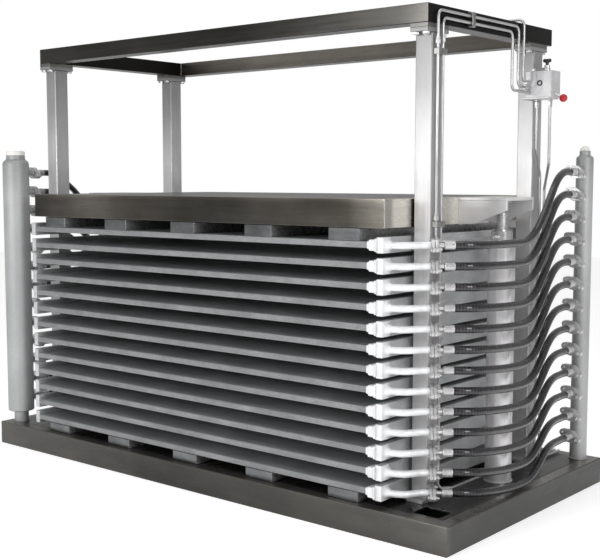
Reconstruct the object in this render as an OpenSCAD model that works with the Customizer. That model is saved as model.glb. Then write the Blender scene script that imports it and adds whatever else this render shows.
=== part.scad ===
// Horizontal contact plate freezer: thirteen chilled plates in a four-column
// frame, opened and closed by a press that two hydraulic cylinders lift.
// Millimetres, +Z up. The origin is the centre of the base, on the floor.

/* [Plates] */
// Length of a plate over its two end bars
plate_l = 2169; // [1700:1:2700]
// Depth of a plate, front to back
plate_w = 1240; // [1000:5:1600]
// Thickness of a plate
plate_t = 25; // [20:1:30]
// Distance from one plate to the next when the press is down
plate_pitch = 80; // [72:1:100]
// Length of the end bar along the plate
bar_t = 29; // [20:1:40]
// Height of the end bar
bar_h = 62; // [50:1:66]
// Length of the corner block that closes a plate's front channel
block_l = 32; // [20:1:60]
// Height of the corner block
block_h = 43; // [30:1:60]
// Number of refrigerant channels through a plate
channel_count = 8; // [4:1:12]
// Height of a refrigerant channel
channel_h = 13; // [8:1:15]

/* [Base] */
// Height of the base
base_h = 114; // [90:1:180]
// Width of the base's edge members
rim_w = 60; // [40:1:80]
// Width of a base joist
joist_w = 40; // [30:1:60]
// Number of base joists
joist_count = 9; // [9:1:12]
// Thickness of the deck sheet
deck_t = 6; // [4:1:10]
// Base beyond the plates at the left end
margin_left = 256; // [250:1:330]
// Base beyond the plates at the right end
margin_right = 320; // [310:1:400]
// Base beyond the plates at the front and back
margin_side = 35; // [30:1:120]
// Length of the sump pocket in the deck
pocket_l = 120; // [80:1:130]
// Width of the sump pocket
pocket_w = 96; // [60:1:120]
// Depth of the sump pocket
pocket_depth = 40; // [20:1:80]

/* [Cross beams] */
// Width of a cross beam
cross_w = 150; // [100:1:200]
// Distance between cross beams
cross_pitch = 448; // [380:1:460]
// Height of the cross beams under the plates
cross_bottom_h = 44; // [40:1:80]
// Height of the cross beams above the plates
cross_top_h = 50; // [40:1:80]

/* [Press] */
// How much shorter the press is than a plate
press_short = 24; // [10:1:60]
// How far the press sits to the right of the stack's middle
press_shift = 16; // [0:1:20]
// Height of the press frame
press_h = 112; // [80:1:160]
// Width of the press frame's members
press_member_w = 60; // [40:1:80]
// Number of ribs across the press frame
press_ribs = 7; // [7:1:10]
// Length that a lift bracket reaches past the press frame
bracket_reach = 222; // [215:1:240]
// Width of a lift bracket
bracket_w = 230; // [180:1:240]
// Plate thickness of a lift bracket
bracket_t = 12; // [8:1:16]

/* [Columns] */
// Size of a column along the plates
column_x = 75; // [60:1:90]
// Size of a column front to back
column_y = 80; // [60:1:100]
// Wall of a column
column_wall = 5; // [3:1:8]
// Height of a column from the deck to the underside of its flange
column_h = 1822; // [1800:1:2200]
// Gap between the right end bars and the columns
column_gap = 18; // [18:1:30]
// Gap between the left end bars and the columns
column_gap_left = 20; // [18:1:30]
// Distance from the plates' front edge to the middle of the front columns
column_front_inset = 219; // [200:1:260]
// Distance from the plates' back edge to the middle of the back columns
column_back_inset = 211; // [160:1:220]
// Length of a column flange, front to back
flange_y = 148; // [140:1:170]
// Thickness of a column flange
flange_t = 16; // [10:1:20]
// Thickness of a column foot plate
foot_t = 12; // [8:1:20]
// Radius of a column flange bolt
column_bolt_r = 8; // [6:0.5:10]

/* [Top frame] */
// Width of the top frame's members
top_member_w = 80; // [60:1:100]
// Height of the top frame's members
top_member_h = 72; // [60:1:100]
// How far the top frame reaches past the back columns' flanges
top_overhang = 45; // [0:1:80]

/* [Cylinders] */
// Outer radius of a cylinder barrel
barrel_r = 56; // [50:1:60]
// Radius of a cylinder's bore
bore_r = 45.05; // [40.05:1:48.05]
// Radius of a piston rod
rod_r = 20; // [16:1:22]
// Distance from the plates' end to the middle of a cylinder
cylinder_gap = 143; // [140:1:150]
// Distance of the cylinders behind the middle of the plates
cylinder_y = 25; // [0:1:40]
// Length of a cylinder barrel
barrel_h = 1002; // [950:1:1040]
// Height of the gland head above the barrel
gland_h = 50; // [30:1:60]
// Height of the rod guide above the gland head
guide_h = 74; // [40:1:90]
// Running clearance of pistons and rods, on the radius
running_gap = 0.05; // [0.02:0.01:0.1]

/* [Headers] */
// Outer radius of the right header
header_right_r = 38; // [30:1:45]
// Outer radius of the left header
header_left_r = 66.5; // [57:0.5:70]
// Height of the lowest header port above the lowest plate
first_port = 60; // [50:1:80]
// Distance from one header port to the next
port_pitch = 98.4; // [90:0.1:110]
// Height of the right header above the deck
header_right_h = 1368; // [1340:1:1500]
// Height of the left header above the deck
header_left_h = 1364; // [1340:1:1500]

/* [Hoses] */
// Outer radius of a hose
hose_r = 16; // [12:1:18]
// Slack of the lowest hoses
slack_low = 37; // [20:1:39]
// Slack of the highest hoses
slack_high = 4; // [0:1:10]

/* [Hydraulics] */
// Outer radius of a hydraulic tube
tube_r = 6; // [4:0.5:8]
// Width of the valve block
valve_l = 122; // [100:1:140]
// Depth of the valve block
valve_w = 85; // [70:1:110]
// Height of the valve block
valve_h = 114; // [90:1:140]

/* [Hidden] */
$fn = 48;
seam = 0.3;                 // gap between pieces that are bolted or welded together
plate_count = 13;
cross_count = 5;

// Places along X, then along Y, then heights.
base_l = plate_l + margin_left + margin_right;
base_w = plate_w + 2 * margin_side;
stack_x = (margin_left - margin_right) / 2;
left_x = stack_x - plate_l / 2;
right_x = stack_x + plate_l / 2;
front_y = -plate_w / 2;
back_y = plate_w / 2;
column_left_x = left_x - column_gap_left - column_x / 2;
column_right_x = right_x + column_gap + column_x / 2;
column_front_y = front_y + column_front_inset;
column_back_y = back_y - column_back_inset;
cylinder_left_x = left_x - cylinder_gap;
cylinder_right_x = right_x + cylinder_gap;
joist_h = base_h - deck_t - seam;
plate_z = base_h + cross_bottom_h + plate_t / 2;
stack_top = plate_z + (plate_count - 1) * plate_pitch + plate_t / 2;
press_z = stack_top + cross_top_h;
press_top = press_z + press_h;
flange_z = base_h + column_h;
frame_z = flange_z + 2 * flange_t + seam;
frame_top = frame_z + top_member_h;

steel = [0.42, 0.41, 0.39];
bright_steel = [0.72, 0.72, 0.72];
plain_aluminium = [0.62, 0.64, 0.64];
white_plastic = [0.93, 0.93, 0.9];
hose_grey = [0.22, 0.22, 0.23];

function unit(v) = v / norm(v);
function plate_height(i) = plate_z + (i - 1) * plate_pitch;
function port_height(i) = plate_z + first_port + (i - 1) * port_pitch;

// Directions, carried normals and rings of a tube that follows points.
function tangents(p) =
  [for (i = [0 : len(p) - 1]) unit(p[min(i + 1, len(p) - 1)] - p[max(i - 1, 0)])];
function carried(n, t) = unit(n - (n * t) * t);
function normals(t, n, i = 0) =
  i == len(t) ? [] : let (m = carried(n, t[i])) concat([m], normals(t, m, i + 1));
function side_of(t) = unit(cross(t, abs(t[2]) < 0.9 ? [0, 0, 1] : [1, 0, 0]));

// A polyline whose corners are rounded to radius r with arcs of a few steps.
function arc_at(a, b, c, r, steps) =
  let (u = unit(b - a), v = unit(c - b), turn = acos(max(-1, min(1, u * v))))
  turn < 1 ? [b] :
  let (
    back = r * tan(turn / 2),
    middle = b + unit(v - u) * (r / cos(turn / 2)),
    from = (b - u * back - middle) / r,
    to = (b + v * back - middle) / r
  )
  [for (k = [0 : steps])
    middle + r * (sin((1 - k / steps) * turn) * from + sin(k / steps * turn) * to) / sin(turn)];
function rounded(p, r, steps = 4) = concat(
  [p[0]],
  [for (i = [1 : len(p) - 2]) each arc_at(p[i - 1], p[i], p[i + 1], r, steps)],
  [p[len(p) - 1]]);

module swept_tube(p, r, sides) {
  t = tangents(p);
  n = normals(t, side_of(t[0]));
  last = len(p) - 1;
  polyhedron(
    points = [for (i = [0 : last], j = [0 : sides - 1])
      let (a = 360 * j / sides) p[i] + r * (cos(a) * n[i] + sin(a) * cross(t[i], n[i]))],
    faces = concat(
      [[for (j = [0 : sides - 1]) j]],
      [for (i = [0 : last - 1], j = [0 : sides - 1])
        let (k = (j + 1) % sides)
        [i * sides + k, i * sides + j, (i + 1) * sides + j, (i + 1) * sides + k]],
      [[for (j = [sides - 1 : -1 : 0]) last * sides + j]]));
}

// A box given by its lowest and highest corners.
module box(low, high) { translate(low) cube(high - low); }

module hex_bolt(r, grip) {
  // Head below zero, nut above the grip.
  translate([0, 0, -1.3 * r]) cylinder(r = 1.9 * r, h = 1.3 * r - seam, $fn = 6);
  translate([0, 0, -1.3 * r]) cylinder(r = r, h = grip + 3 * r);
  translate([0, 0, grip + seam]) cylinder(r = 1.9 * r, h = 1.4 * r, $fn = 6);
}

// ---- base ----

seam_inset = 22.5;          // deck left between the sump pocket and the right edge member
deck_margin = 17;           // deck left between the sump pocket and the joint of the deck sheets
pan_t = 3;
pocket_x = base_l / 2 - rim_w - seam_inset - pocket_l / 2;
pocket_y = front_y + 89;
seam_x = pocket_x - pocket_l / 2 - deck_margin;

module base_frame() color(steel) {
  long = base_l - 2 * rim_w;
  short = base_w - 2 * rim_w;
  for (s = [-1, 1])
    box([-base_l / 2, s * (base_w / 2 - rim_w / 2) - rim_w / 2, 0],
        [base_l / 2, s * (base_w / 2 - rim_w / 2) + rim_w / 2, base_h]);
  for (s = [-1, 1])
    box([s * (base_l / 2 - rim_w / 2) - rim_w / 2, -short / 2 + seam, 0],
        [s * (base_l / 2 - rim_w / 2) + rim_w / 2, short / 2 - seam, base_h]);
  bay = (long - joist_count * joist_w) / (joist_count + 1);
  for (i = [0 : joist_count - 1])
    let (x = -long / 2 + bay + i * (bay + joist_w))
    difference() {
      box([x, -short / 2 + seam, 0], [x + joist_w, short / 2 - seam, joist_h]);
      box([x + 5, -short, 5], [x + joist_w - 5, short, joist_h - 5]);
    }
  // Pan of the sump pocket, hung from the deck.
  difference() {
    box([pocket_x - pocket_l / 2 - pan_t, pocket_y - pocket_w / 2 - pan_t, base_h - pocket_depth - pan_t],
        [pocket_x + pocket_l / 2 + pan_t, pocket_y + pocket_w / 2 + pan_t, joist_h]);
    box([pocket_x - pocket_l / 2, pocket_y - pocket_w / 2, base_h - pocket_depth],
        [pocket_x + pocket_l / 2, pocket_y + pocket_w / 2, base_h]);
  }
}

module deck_plate() color(steel) {
  x = base_l / 2 - rim_w - seam;
  y = base_w / 2 - rim_w - seam;
  box([-x, -y, base_h - deck_t], [seam_x - seam, y, base_h]);
  difference() {
    box([seam_x, -y, base_h - deck_t], [x, y, base_h]);
    box([pocket_x - pocket_l / 2, pocket_y - pocket_w / 2, base_h - 2 * deck_t],
        [pocket_x + pocket_l / 2, pocket_y + pocket_w / 2, base_h + 1]);
  }
}

module cross_beams(z, h) {
  for (k = [0 : cross_count - 1])
    let (x = stack_x + (k - (cross_count - 1) / 2) * cross_pitch)
    box([x - cross_w / 2, front_y, z + seam], [x + cross_w / 2, back_y, z + h - seam]);
}
module bottom_cross_beams() color(steel) cross_beams(base_h, cross_bottom_h);

// ---- columns and top frame ----

column_places = [
  [column_left_x, column_front_y], [column_right_x, column_front_y],
  [column_left_x, column_back_y], [column_right_x, column_back_y]];
bolt_x = column_x / 2 - 14;
bolt_y = flange_y / 2 - 15;

module flange_holes(h) {
  for (sx = [-1, 1], sy = [-1, 1])
    translate([sx * bolt_x, sy * bolt_y, -1]) cylinder(r = column_bolt_r + seam, h = h + 2);
}

module column(place) color(bright_steel) translate([place[0], place[1], base_h + seam]) {
  difference() {
    union() {
      box([-column_x / 2, -column_y / 2, 0], [column_x / 2, column_y / 2, column_h - seam]);
      box([-column_x / 2, -flange_y / 2, 0], [column_x / 2, flange_y / 2, foot_t]);
      box([-column_x / 2 - 2.5, -flange_y / 2, column_h - seam],
          [column_x / 2 + 2.5, flange_y / 2, column_h - seam + flange_t]);
    }
    box([-column_x / 2 + column_wall, -column_y / 2 + column_wall, -1],
        [column_x / 2 - column_wall, column_y / 2 - column_wall, column_h - seam]);
    translate([0, 0, column_h - seam]) flange_holes(flange_t);
  }
}

module column_bolts() color(bright_steel)
  for (place = column_places, sx = [-1, 1], sy = [-1, 1])
    translate([place[0] + sx * bolt_x, place[1] + sy * bolt_y, flange_z])
      intersection() {
        hex_bolt(column_bolt_r, 2 * flange_t + seam);
        cylinder(r = 40, h = 80, center = true);
      }

top_left = column_left_x - column_x / 2 - 2.5;
top_right = column_right_x + column_x / 2 + 2.5;
top_front = column_front_y - flange_y / 2;
top_back = column_back_y + flange_y / 2 + top_overhang;

module top_frame() color(steel) {
  // Front and back members, then the end members between them.
  for (y = [top_front, top_back - top_member_w])
    top_member([top_left, y, frame_z], [top_right, y + top_member_w, frame_top]);
  for (x = [top_left, top_right - top_member_w])
    top_member([x, top_front + top_member_w + seam, frame_z],
               [x + top_member_w, top_back - top_member_w - seam, frame_top]);
  // Flange plates that the columns bolt to.
  for (place = column_places)
    difference() {
      box([place[0] - column_x / 2 - 2.5, place[1] - flange_y / 2, flange_z + flange_t + seam],
          [place[0] + column_x / 2 + 2.5, place[1] + flange_y / 2, frame_z - seam]);
      translate([place[0], place[1], flange_z + flange_t]) flange_holes(flange_t);
    }
}

// A member of the top frame, with pockets above the column bolts.
module top_member(low, high)
  difference() {
    box(low, high);
    for (place = column_places, sx = [-1, 1], sy = [-1, 1])
      translate([place[0] + sx * bolt_x, place[1] + sy * bolt_y, frame_z - 1])
        cylinder(r = 2.2 * column_bolt_r, h = 3.4 * column_bolt_r + 1);
  }

// ---- lift cylinders ----

cylinder_places = [[cylinder_left_x, cylinder_y], [cylinder_right_x, cylinder_y]];
barrel_floor = 20;
piston_h = 30;
spigot_h = 30;
rod_flange_t = 10;
gland_z = base_h + barrel_h;
port_z = base_h + 46;
upper_port_z = gland_z + gland_h / 2;
boss_r = 13;

module cylinder_barrel(place) color(bright_steel) translate([place[0], place[1], base_h + seam])
  difference() {
    union() {
      cylinder(r = barrel_r, h = barrel_h - seam, $fn = 96);
      // Port boss towards the front.
      translate([0, 0, port_z - base_h]) rotate([90, 0, 0]) cylinder(r = boss_r, h = barrel_r + 12);
    }
    translate([0, 0, barrel_floor]) cylinder(r = bore_r, h = barrel_h, $fn = 96);
  }

module cylinder_glands() color(bright_steel)
  for (place = cylinder_places)
    translate([place[0], place[1], gland_z + seam])
      difference() {
        union() {
          cylinder(r = bore_r - 1, h = gland_h, $fn = 96);
          translate([0, 0, -spigot_h]) cylinder(r = bore_r - running_gap, h = spigot_h, $fn = 96);
          translate([0, 0, gland_h - 1]) cylinder(r = rod_r + 4, h = guide_h + 1);
          translate([0, 0, gland_h / 2]) rotate([90, 0, 0]) cylinder(r = boss_r, h = bore_r + 10);
        }
        translate([0, 0, -spigot_h - 1])
          cylinder(r = rod_r + running_gap, h = spigot_h + gland_h + guide_h + 2, $fn = 64);
      }

module piston_rod(place) color([0.85, 0.86, 0.88]) translate([place[0], place[1], 0]) {
  floor_z = base_h + barrel_floor + 2;
  translate([0, 0, floor_z]) cylinder(r = bore_r - running_gap, h = piston_h, $fn = 96);
  translate([0, 0, floor_z + 1]) cylinder(r = rod_r, h = press_top - bracket_t - floor_z - 1, $fn = 64);
  translate([0, 0, press_top - bracket_t - rod_flange_t - seam])
    cylinder(r = 2 * rod_r, h = rod_flange_t);
}

// ---- press ----

press_l = plate_l - press_short;
press_end = press_l / 2;
press_x = stack_x + press_shift;
bracket_bolt_r = 7;
bracket_bolts_y = [-75, 75];
bracket_bolts_z = [26, 74];

module press_frame() color(steel) translate([press_x, 0, press_z]) {
  w = press_member_w;
  for (s = [-1, 1])
    box([-press_end, s * (plate_w / 2 - w / 2) - w / 2, seam],
        [press_end, s * (plate_w / 2 - w / 2) + w / 2, press_h]);
  inner = plate_w / 2 - w - seam;
  for (s = [-1, 1])
    difference() {
      box([s * (press_end - w / 2) - w / 2, -inner, seam], [s * (press_end - w / 2) + w / 2, inner, press_h]);
      for (y = bracket_bolts_y, z = bracket_bolts_z)
        translate([s * (press_end + 1), cylinder_y + y, z])
          rotate([0, -90 * s, 0]) cylinder(r = bracket_bolt_r + seam, h = 36);
    }
  bay = (press_l - 2 * w - press_ribs * 20) / (press_ribs + 1);
  for (i = [0 : press_ribs - 1])
    let (x = -press_end + w + bay + i * (bay + 20))
    box([x, -inner, seam], [x + 20, inner, press_h - deck_t - seam]);
  // Cover sheet between the members.
  box([-press_end + w + seam, -inner, press_h - deck_t], [press_end - w - seam, inner, press_h]);
}
module press_cross_beams() color(steel) cross_beams(stack_top, cross_top_h);

// Bracket at the right end; the left one is turned half round.
module lift_bracket(place, side) color(bright_steel)
  translate([press_x + side * (press_end + seam), place[1], press_z]) scale([side, 1, 1]) {
    half = bracket_w / 2;
    difference() {
      box([0, -half, seam], [bracket_t, half, press_h - bracket_t - seam]);
      for (y = bracket_bolts_y, z = bracket_bolts_z)
        translate([-1, y, z]) rotate([0, 90, 0]) cylinder(r = bracket_bolt_r + seam, h = bracket_t + 2);
    }
    box([0, -half, press_h - bracket_t], [bracket_reach, half, press_h]);
    for (s = [-1, 1])
      translate([bracket_t + seam, s * (half - bracket_t / 2) + bracket_t / 2, 0])
        rotate([90, 0, 0]) linear_extrude(bracket_t)
          polygon([[0, 4], [60, 4], [bracket_reach - bracket_t - seam, 62],
                   [bracket_reach - bracket_t - seam, press_h - bracket_t - seam],
                   [0, press_h - bracket_t - seam]]);
  }

module bracket_bolts() color(bright_steel)
  for (s = [-1, 1], y = bracket_bolts_y, z = bracket_bolts_z)
    translate([press_x + s * (press_end + bracket_t + 2 * seam), cylinder_y + y, press_z + z])
      rotate([0, -90 * s, 0]) {
        translate([0, 0, -9]) cylinder(r = 1.9 * bracket_bolt_r, h = 9, $fn = 6);
        translate([0, 0, -1]) cylinder(r = bracket_bolt_r, h = 45);
      }

// ---- plates ----

link_y = [column_front_y + 136, column_back_y - 136];
lug_l = 26;
lug_w = 84;
lug_h = 12;
lug_x = 16;
link_r = 5;
link_step = 20;             // the two link bolts of a lug stand this far from its middle
link_slack = 45;            // how far a plate rises before it lifts the one below
plate_joint_tilt = 27;
connection_angle = [39, 60];
flange_place = [[139, 142], [143, 132]];
joint_t = 12;
neck_l = 26;
neck_r = 8;
ferrule_l = 40;
ferrule_r = 17.5;
joint_bolt_r = 5;
joint_bolt_gap = 31;
connection_r = 14;

// Two-bolt flange outline, long axis along Y.
module joint_outline(long = 44, wide = 25)
  polygon([[-8, -long], [8, -long], [wide, -14], [wide, 14], [8, long], [-8, long], [-wide, 14], [-wide, -14]]);

// A pair of flanges with bolts, neck and hose ferrule; +Z points into the hose.
module flange_joint(tilt, neck = neck_l, ferrule = ferrule_l, size = 1) {
  for (side = [0, 1])
    rotate([0, 0, tilt])
      difference() {
        union() {
          translate([0, 0, side == 0 ? -joint_t : seam]) linear_extrude(joint_t)
            joint_outline(44 * size, 25 * size);
          if (side == 1) {
            translate([0, 0, joint_t]) cylinder(r = neck_r, h = neck + 1);
            translate([0, 0, joint_t + neck]) cylinder(r = ferrule_r, h = ferrule);
          }
        }
        for (s = [-1, 1])
          translate([0, s * size * joint_bolt_gap, -joint_t - 1])
            cylinder(r = joint_bolt_r + seam, h = 2 * joint_t + 3, $fn = 24);
      }
  rotate([0, 0, tilt])
    for (s = [-1, 1])
      translate([0, s * size * joint_bolt_gap, -joint_t]) hex_bolt(joint_bolt_r, 2 * joint_t + seam);
}

// Refrigerant connection at a plate's right front corner, bar face at zero.
module plate_connection(end) {
  a = connection_angle[end];
  f = flange_place[end];
  d = [cos(a), sin(a), 0];
  stop = [f[0], f[1], 0] - (joint_t + seam) * d;
  swept_tube(
    rounded([[seam, 35, 0], [24, 36, 0], [f[0] * 0.5, f[1] * 0.35, 0], stop - 30 * d, stop], 60, 2),
    connection_r, 12);
  translate([f[0], f[1], 0]) rotate([0, 90, a]) flange_joint(plate_joint_tilt);
}

module link_lug() {
  difference() {
    box([seam, -lug_w / 2, -lug_h / 2], [seam + lug_l, lug_w / 2, lug_h / 2]);
    for (s = [-1, 1])
      translate([lug_x, s * link_step, -lug_h]) cylinder(r = link_r + 0.5, h = 2 * lug_h, $fn = 24);
  }
}

// Bolt that hangs down from a lug and carries the plate below once the slack is used.
module link_bolt() {
  translate([0, 0, lug_h / 2 + seam]) cylinder(r = 9, h = 7, $fn = 6);
  translate([0, 0, -plate_pitch - link_slack - lug_h / 2 - 10])
    cylinder(r = link_r, h = plate_pitch + link_slack + lug_h + 14);
  translate([0, 0, -plate_pitch - link_slack - lug_h / 2 - 8.5]) cylinder(r = 9, h = 8, $fn = 6);
}

module plate_panel() {
  half = plate_l / 2 - bar_t - seam;
  block_y = 50;
  cell = (plate_w - 2 * block_y - 20) / channel_count;
  rotate([90, 0, 90]) translate([0, 0, -half])
    difference() {
      linear_extrude(2 * half)
        difference() {
          translate([-plate_w / 2, -plate_t / 2]) square([plate_w, plate_t]);
          for (i = [0 : channel_count - 1])
            translate([(i - (channel_count - 1) / 2) * cell - cell / 2 + 8, -channel_h / 2])
              square([cell - 16, channel_h]);
        }
      // Notches for the corner blocks.
      translate([-plate_w / 2 - 1, -plate_t, 2 * half - block_l - seam])
        cube([block_y + 1 + seam, 2 * plate_t, block_l + 2]);
      translate([plate_w / 2 - block_y - seam, -plate_t, -1])
        cube([block_y + 1 + seam, 2 * plate_t, block_l + 1 + seam]);
    }
}

module plate(i) color(plain_aluminium) translate([stack_x, 0, plate_height(i)]) {
  plate_panel();
  for (end = [0, 1])
    rotate([0, 0, 180 * end]) {
      x = plate_l / 2;
      box([x - bar_t, front_y, -bar_h / 2], [x, back_y, bar_h / 2]);
      box([x - bar_t - block_l, front_y - 10, -block_h / 2], [x - bar_t - seam, front_y + 50, block_h / 2]);
      translate([x, front_y, 0]) plate_connection(end);
      for (k = [0, 1])
        translate([x, end == 0 ? link_y[k] : -link_y[k], 0]) {
          link_lug();
          if (i > 2)
            translate([lug_x, (i % 2 == 0 ? 1 : -1) * link_step, 0]) link_bolt();
        }
    }
}

// ---- headers and hoses ----

header_right_x = base_l / 2 - 81;
header_left_x = 70 - base_l / 2;
header_right_y = base_w / 2 - 70;
header_left_y = 80 - base_w / 2;
neck_right_r = 24;
neck_left_r = 47.5;
stub_r = 14;
header_neck_h = 22;

// Closed pipe with a port towards +Y for every plate.
module header(r, h, foot_r, foot_h, neck, stub) {
  shoulder = r * 0.35;
  difference() {
    union() {
      if (foot_h > 0)
        cylinder(r = foot_r, h = foot_h + 1);
      translate([0, 0, foot_h])
        rotate_extrude($fn = 96)
          polygon([[0, 0], [r - 6, 0], [r, 6], [r, h - foot_h - shoulder],
                   [r - shoulder * 0.3, h - foot_h - shoulder * 0.3],
                   [r - shoulder, h - foot_h], [0, h - foot_h]]);
      translate([0, 0, h - 1]) cylinder(r = neck, h = header_neck_h + 1, $fn = 64);
      for (i = [1 : plate_count])
        translate([0, 0, port_height(i) - base_h]) rotate([-90, 0, 0])
          cylinder(r = stub_r, h = r + stub, $fn = 32);
    }
    translate([0, 0, foot_h + 12]) cylinder(r = min(r - 5, neck - 5), h = h + 60, $fn = 64);
  }
}

stub_right = 35;
stub_left = 31;
module header_right() color([0.72, 0.73, 0.73])
  translate([header_right_x, header_right_y, base_h + seam]) rotate([0, 0, 180])
    header(header_right_r, header_right_h, 0, 0, neck_right_r, stub_right);
module header_left() color([0.72, 0.73, 0.73])
  translate([header_left_x, header_left_y, base_h + seam])
    header(header_left_r, header_left_h, 37, 58, neck_left_r, stub_left);

port_neck = 12;
port_ferrule = 36;
port_flange_size = 1.15;     // the headers' flanges are this much wider than the plates'
module header_joints(x, y, turn, tilt)
  for (i = [1 : plate_count])
    translate([x, y, port_height(i) + seam]) rotate([0, 0, turn]) rotate([-90, 0, 0])
      flange_joint(tilt, port_neck, port_ferrule, port_flange_size);
module header_flanges_right() color(bright_steel)
  header_joints(header_right_x, header_right_y - header_right_r - stub_right - joint_t - seam, 180, 66);
module header_flanges_left() color(bright_steel)
  header_joints(header_left_x, header_left_y + header_left_r + stub_left + joint_t + seam, 0, -66);

cap_gap = 2 * seam;
module header_cap_right() color(white_plastic)
  translate([header_right_x, header_right_y, base_h + header_right_h + header_neck_h + cap_gap]) {
    cylinder(r = neck_right_r - 1, h = 8, $fn = 6);
    translate([0, 0, 8]) cylinder(r1 = neck_right_r - 4, r2 = 6, h = 14);
  }
module header_cap_left() color(white_plastic)
  translate([header_left_x, header_left_y, base_h + header_left_h + header_neck_h + cap_gap]) {
    cylinder(r = neck_left_r - 0.5, h = 20, $fn = 64);
    translate([0, 0, 19]) cylinder(r = neck_left_r - 6, h = 4, $fn = 64);
  }

// Hose routes: X, Y, share of the climb on the highest and on the lowest hose, share of the slack.
route_right = [
  [1252.4, -428.7, 0, 0, 0], [1291, -397.5, 0, 0, 0], [1315, -357, 0, 0, 0.1],
  [1327, -300, 0, 0, 0.3], [1332, -240, 0, 0, 0.55], [1334, -170, 0, 0, 0.8],
  [1335, -100, 0, 0, 0.95], [1335, -40, 0.01, 0, 1], [1334, 20, 0.07, 0.03, 0.97],
  [1332, 80, 0.2, 0.2, 0.75], [1328, 140, 0.39, 0.52, 0.4], [1321, 200, 0.6, 0.82, 0.08],
  [1312, 260, 0.79, 0.96, -0.08], [1302, 320, 0.92, 1, -0.08], [1295, 375, 0.985, 1, -0.02],
  [1291.5, 410, 1, 1, 0], [1291.5, 439.4, 1, 1, 0]];
route_left = [
  [-1298.7, 420.1, 0, 0, 0], [-1318.7, 385.4, 0, 0, 0], [-1332, 348, 0, 0, 0.1],
  [-1339.5, 303, 0, 0, 0.3], [-1342, 240, 0, 0, 0.55], [-1342, 170, 0, 0, 0.85],
  [-1342, 100, 0.01, 0.01, 1], [-1342, 40, 0.07, 0.07, 1], [-1342, -20, 0.2, 0.2, 0.75],
  [-1341, -80, 0.36, 0.36, 0.35], [-1336, -135, 0.525, 0.525, -0.05], [-1329, -185, 0.675, 0.675, -0.3],
  [-1320, -240, 0.8, 0.8, -0.4], [-1311, -295, 0.9, 0.9, -0.35], [-1304, -345, 0.975, 0.975, -0.12],
  [-1302.5, -376, 1, 1, 0], [-1302.5, -404.9, 1, 1, 0]];
function slack(i) = slack_low + (slack_high - slack_low) * (i - 1) / (plate_count - 1);
function climb(i) = port_height(i) + seam - plate_height(i);
function hose_points(route, i) =
  let (low = (plate_count - i) / (plate_count - 1))
  [for (q = route)
    [q[0], q[1], plate_height(i) + (q[2] + (q[3] - q[2]) * low) * climb(i) - q[4] * slack(i)]];

module hoses(i) color(hose_grey) {
  swept_tube(hose_points(route_right, i), hose_r, 8);
  swept_tube(hose_points(route_left, i), hose_r, 8);
}

// ---- hydraulics ----

tube_stand = 12;             // from a beam's face to the axis of a tube on it
tube_x = top_right + tube_stand;
tube_left_x = top_left - tube_stand;
inside_x = [top_left + top_member_w + tube_stand, top_right - top_member_w - tube_stand];
inside_y = top_front + top_member_w + tube_stand;
inside_z = frame_top - 40;
left_drop_y = column_front_y + flange_y / 2 + 17;
over_z = frame_top + tube_r + 8;
beam_z = [frame_top - 22, frame_top - 48];
drop_y = [column_front_y - 20, column_front_y + 14];
valve_x = top_right + 59;
valve_y = column_back_y - 74;
valve_z = flange_z - 210;
valve_front = valve_y - valve_w / 2;
entry_z = [valve_z + 46, valve_z + 26, valve_z + 66];
back_y_drops = [202, 150, 247];
bend_r = 26;

module cylinder_tubes() color(bright_steel) {
  // Upper port of the right cylinder.
  swept_tube(rounded([
    [tube_x, valve_front - seam, entry_z[0]], [tube_x, back_y_drops[0], entry_z[0]],
    [tube_x, back_y_drops[0], beam_z[0]], [tube_x, drop_y[0], beam_z[0]],
    [tube_x, drop_y[0], upper_port_z + seam], [cylinder_right_x, drop_y[0] + 60, upper_port_z + seam],
    [cylinder_right_x, cylinder_y - bore_r - 10 - seam, upper_port_z + seam]], bend_r), tube_r, 8);
  // Lower port of the right cylinder.
  swept_tube(rounded([
    [tube_x, valve_front - seam, entry_z[1]], [tube_x, back_y_drops[1], entry_z[1]],
    [tube_x, back_y_drops[1], beam_z[1]], [tube_x, drop_y[1], beam_z[1]],
    [tube_x, drop_y[1], port_z + seam], [cylinder_right_x, drop_y[1] + 60, port_z + seam],
    [cylinder_right_x, cylinder_y - barrel_r - 12 - seam, port_z + seam]], bend_r), tube_r, 8);
  // Over the right member, inside the top frame and over the left member to the left cylinder.
  swept_tube(rounded([
    [tube_x, valve_front - seam, entry_z[2]], [tube_x, back_y_drops[2], entry_z[2]],
    [tube_x, back_y_drops[2], over_z], [inside_x[1], back_y_drops[2], over_z],
    [inside_x[1], back_y_drops[2], inside_z], [inside_x[1], inside_y, inside_z],
    [inside_x[0], inside_y, inside_z], [inside_x[0], left_drop_y, inside_z],
    [inside_x[0], left_drop_y, over_z], [tube_left_x, left_drop_y, over_z],
    [tube_left_x, left_drop_y, port_z + seam], [cylinder_left_x, left_drop_y + 90, port_z + seam],
    [cylinder_left_x, cylinder_y - barrel_r - 12 - seam, port_z + seam]], bend_r), tube_r, 8);
}

supply_x = [valve_x - 32, valve_x + 30];
module supply_tubes() color(bright_steel)
  for (k = [0, 1])
    swept_tube(rounded([
      [supply_x[k], valve_y + 12, valve_z - 12 - seam], [supply_x[k], valve_y + 12, valve_z - 220 - 60 * k],
      [tube_x + 22 * k, column_back_y + 8, valve_z - 330 - 60 * k],
      [tube_x + 22 * k, column_back_y + 8, base_h + 4 + tube_r],
      [tube_x + 22 * k, base_w / 2 - 40, base_h + 4 + tube_r]], bend_r), tube_r, 8);

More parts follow.
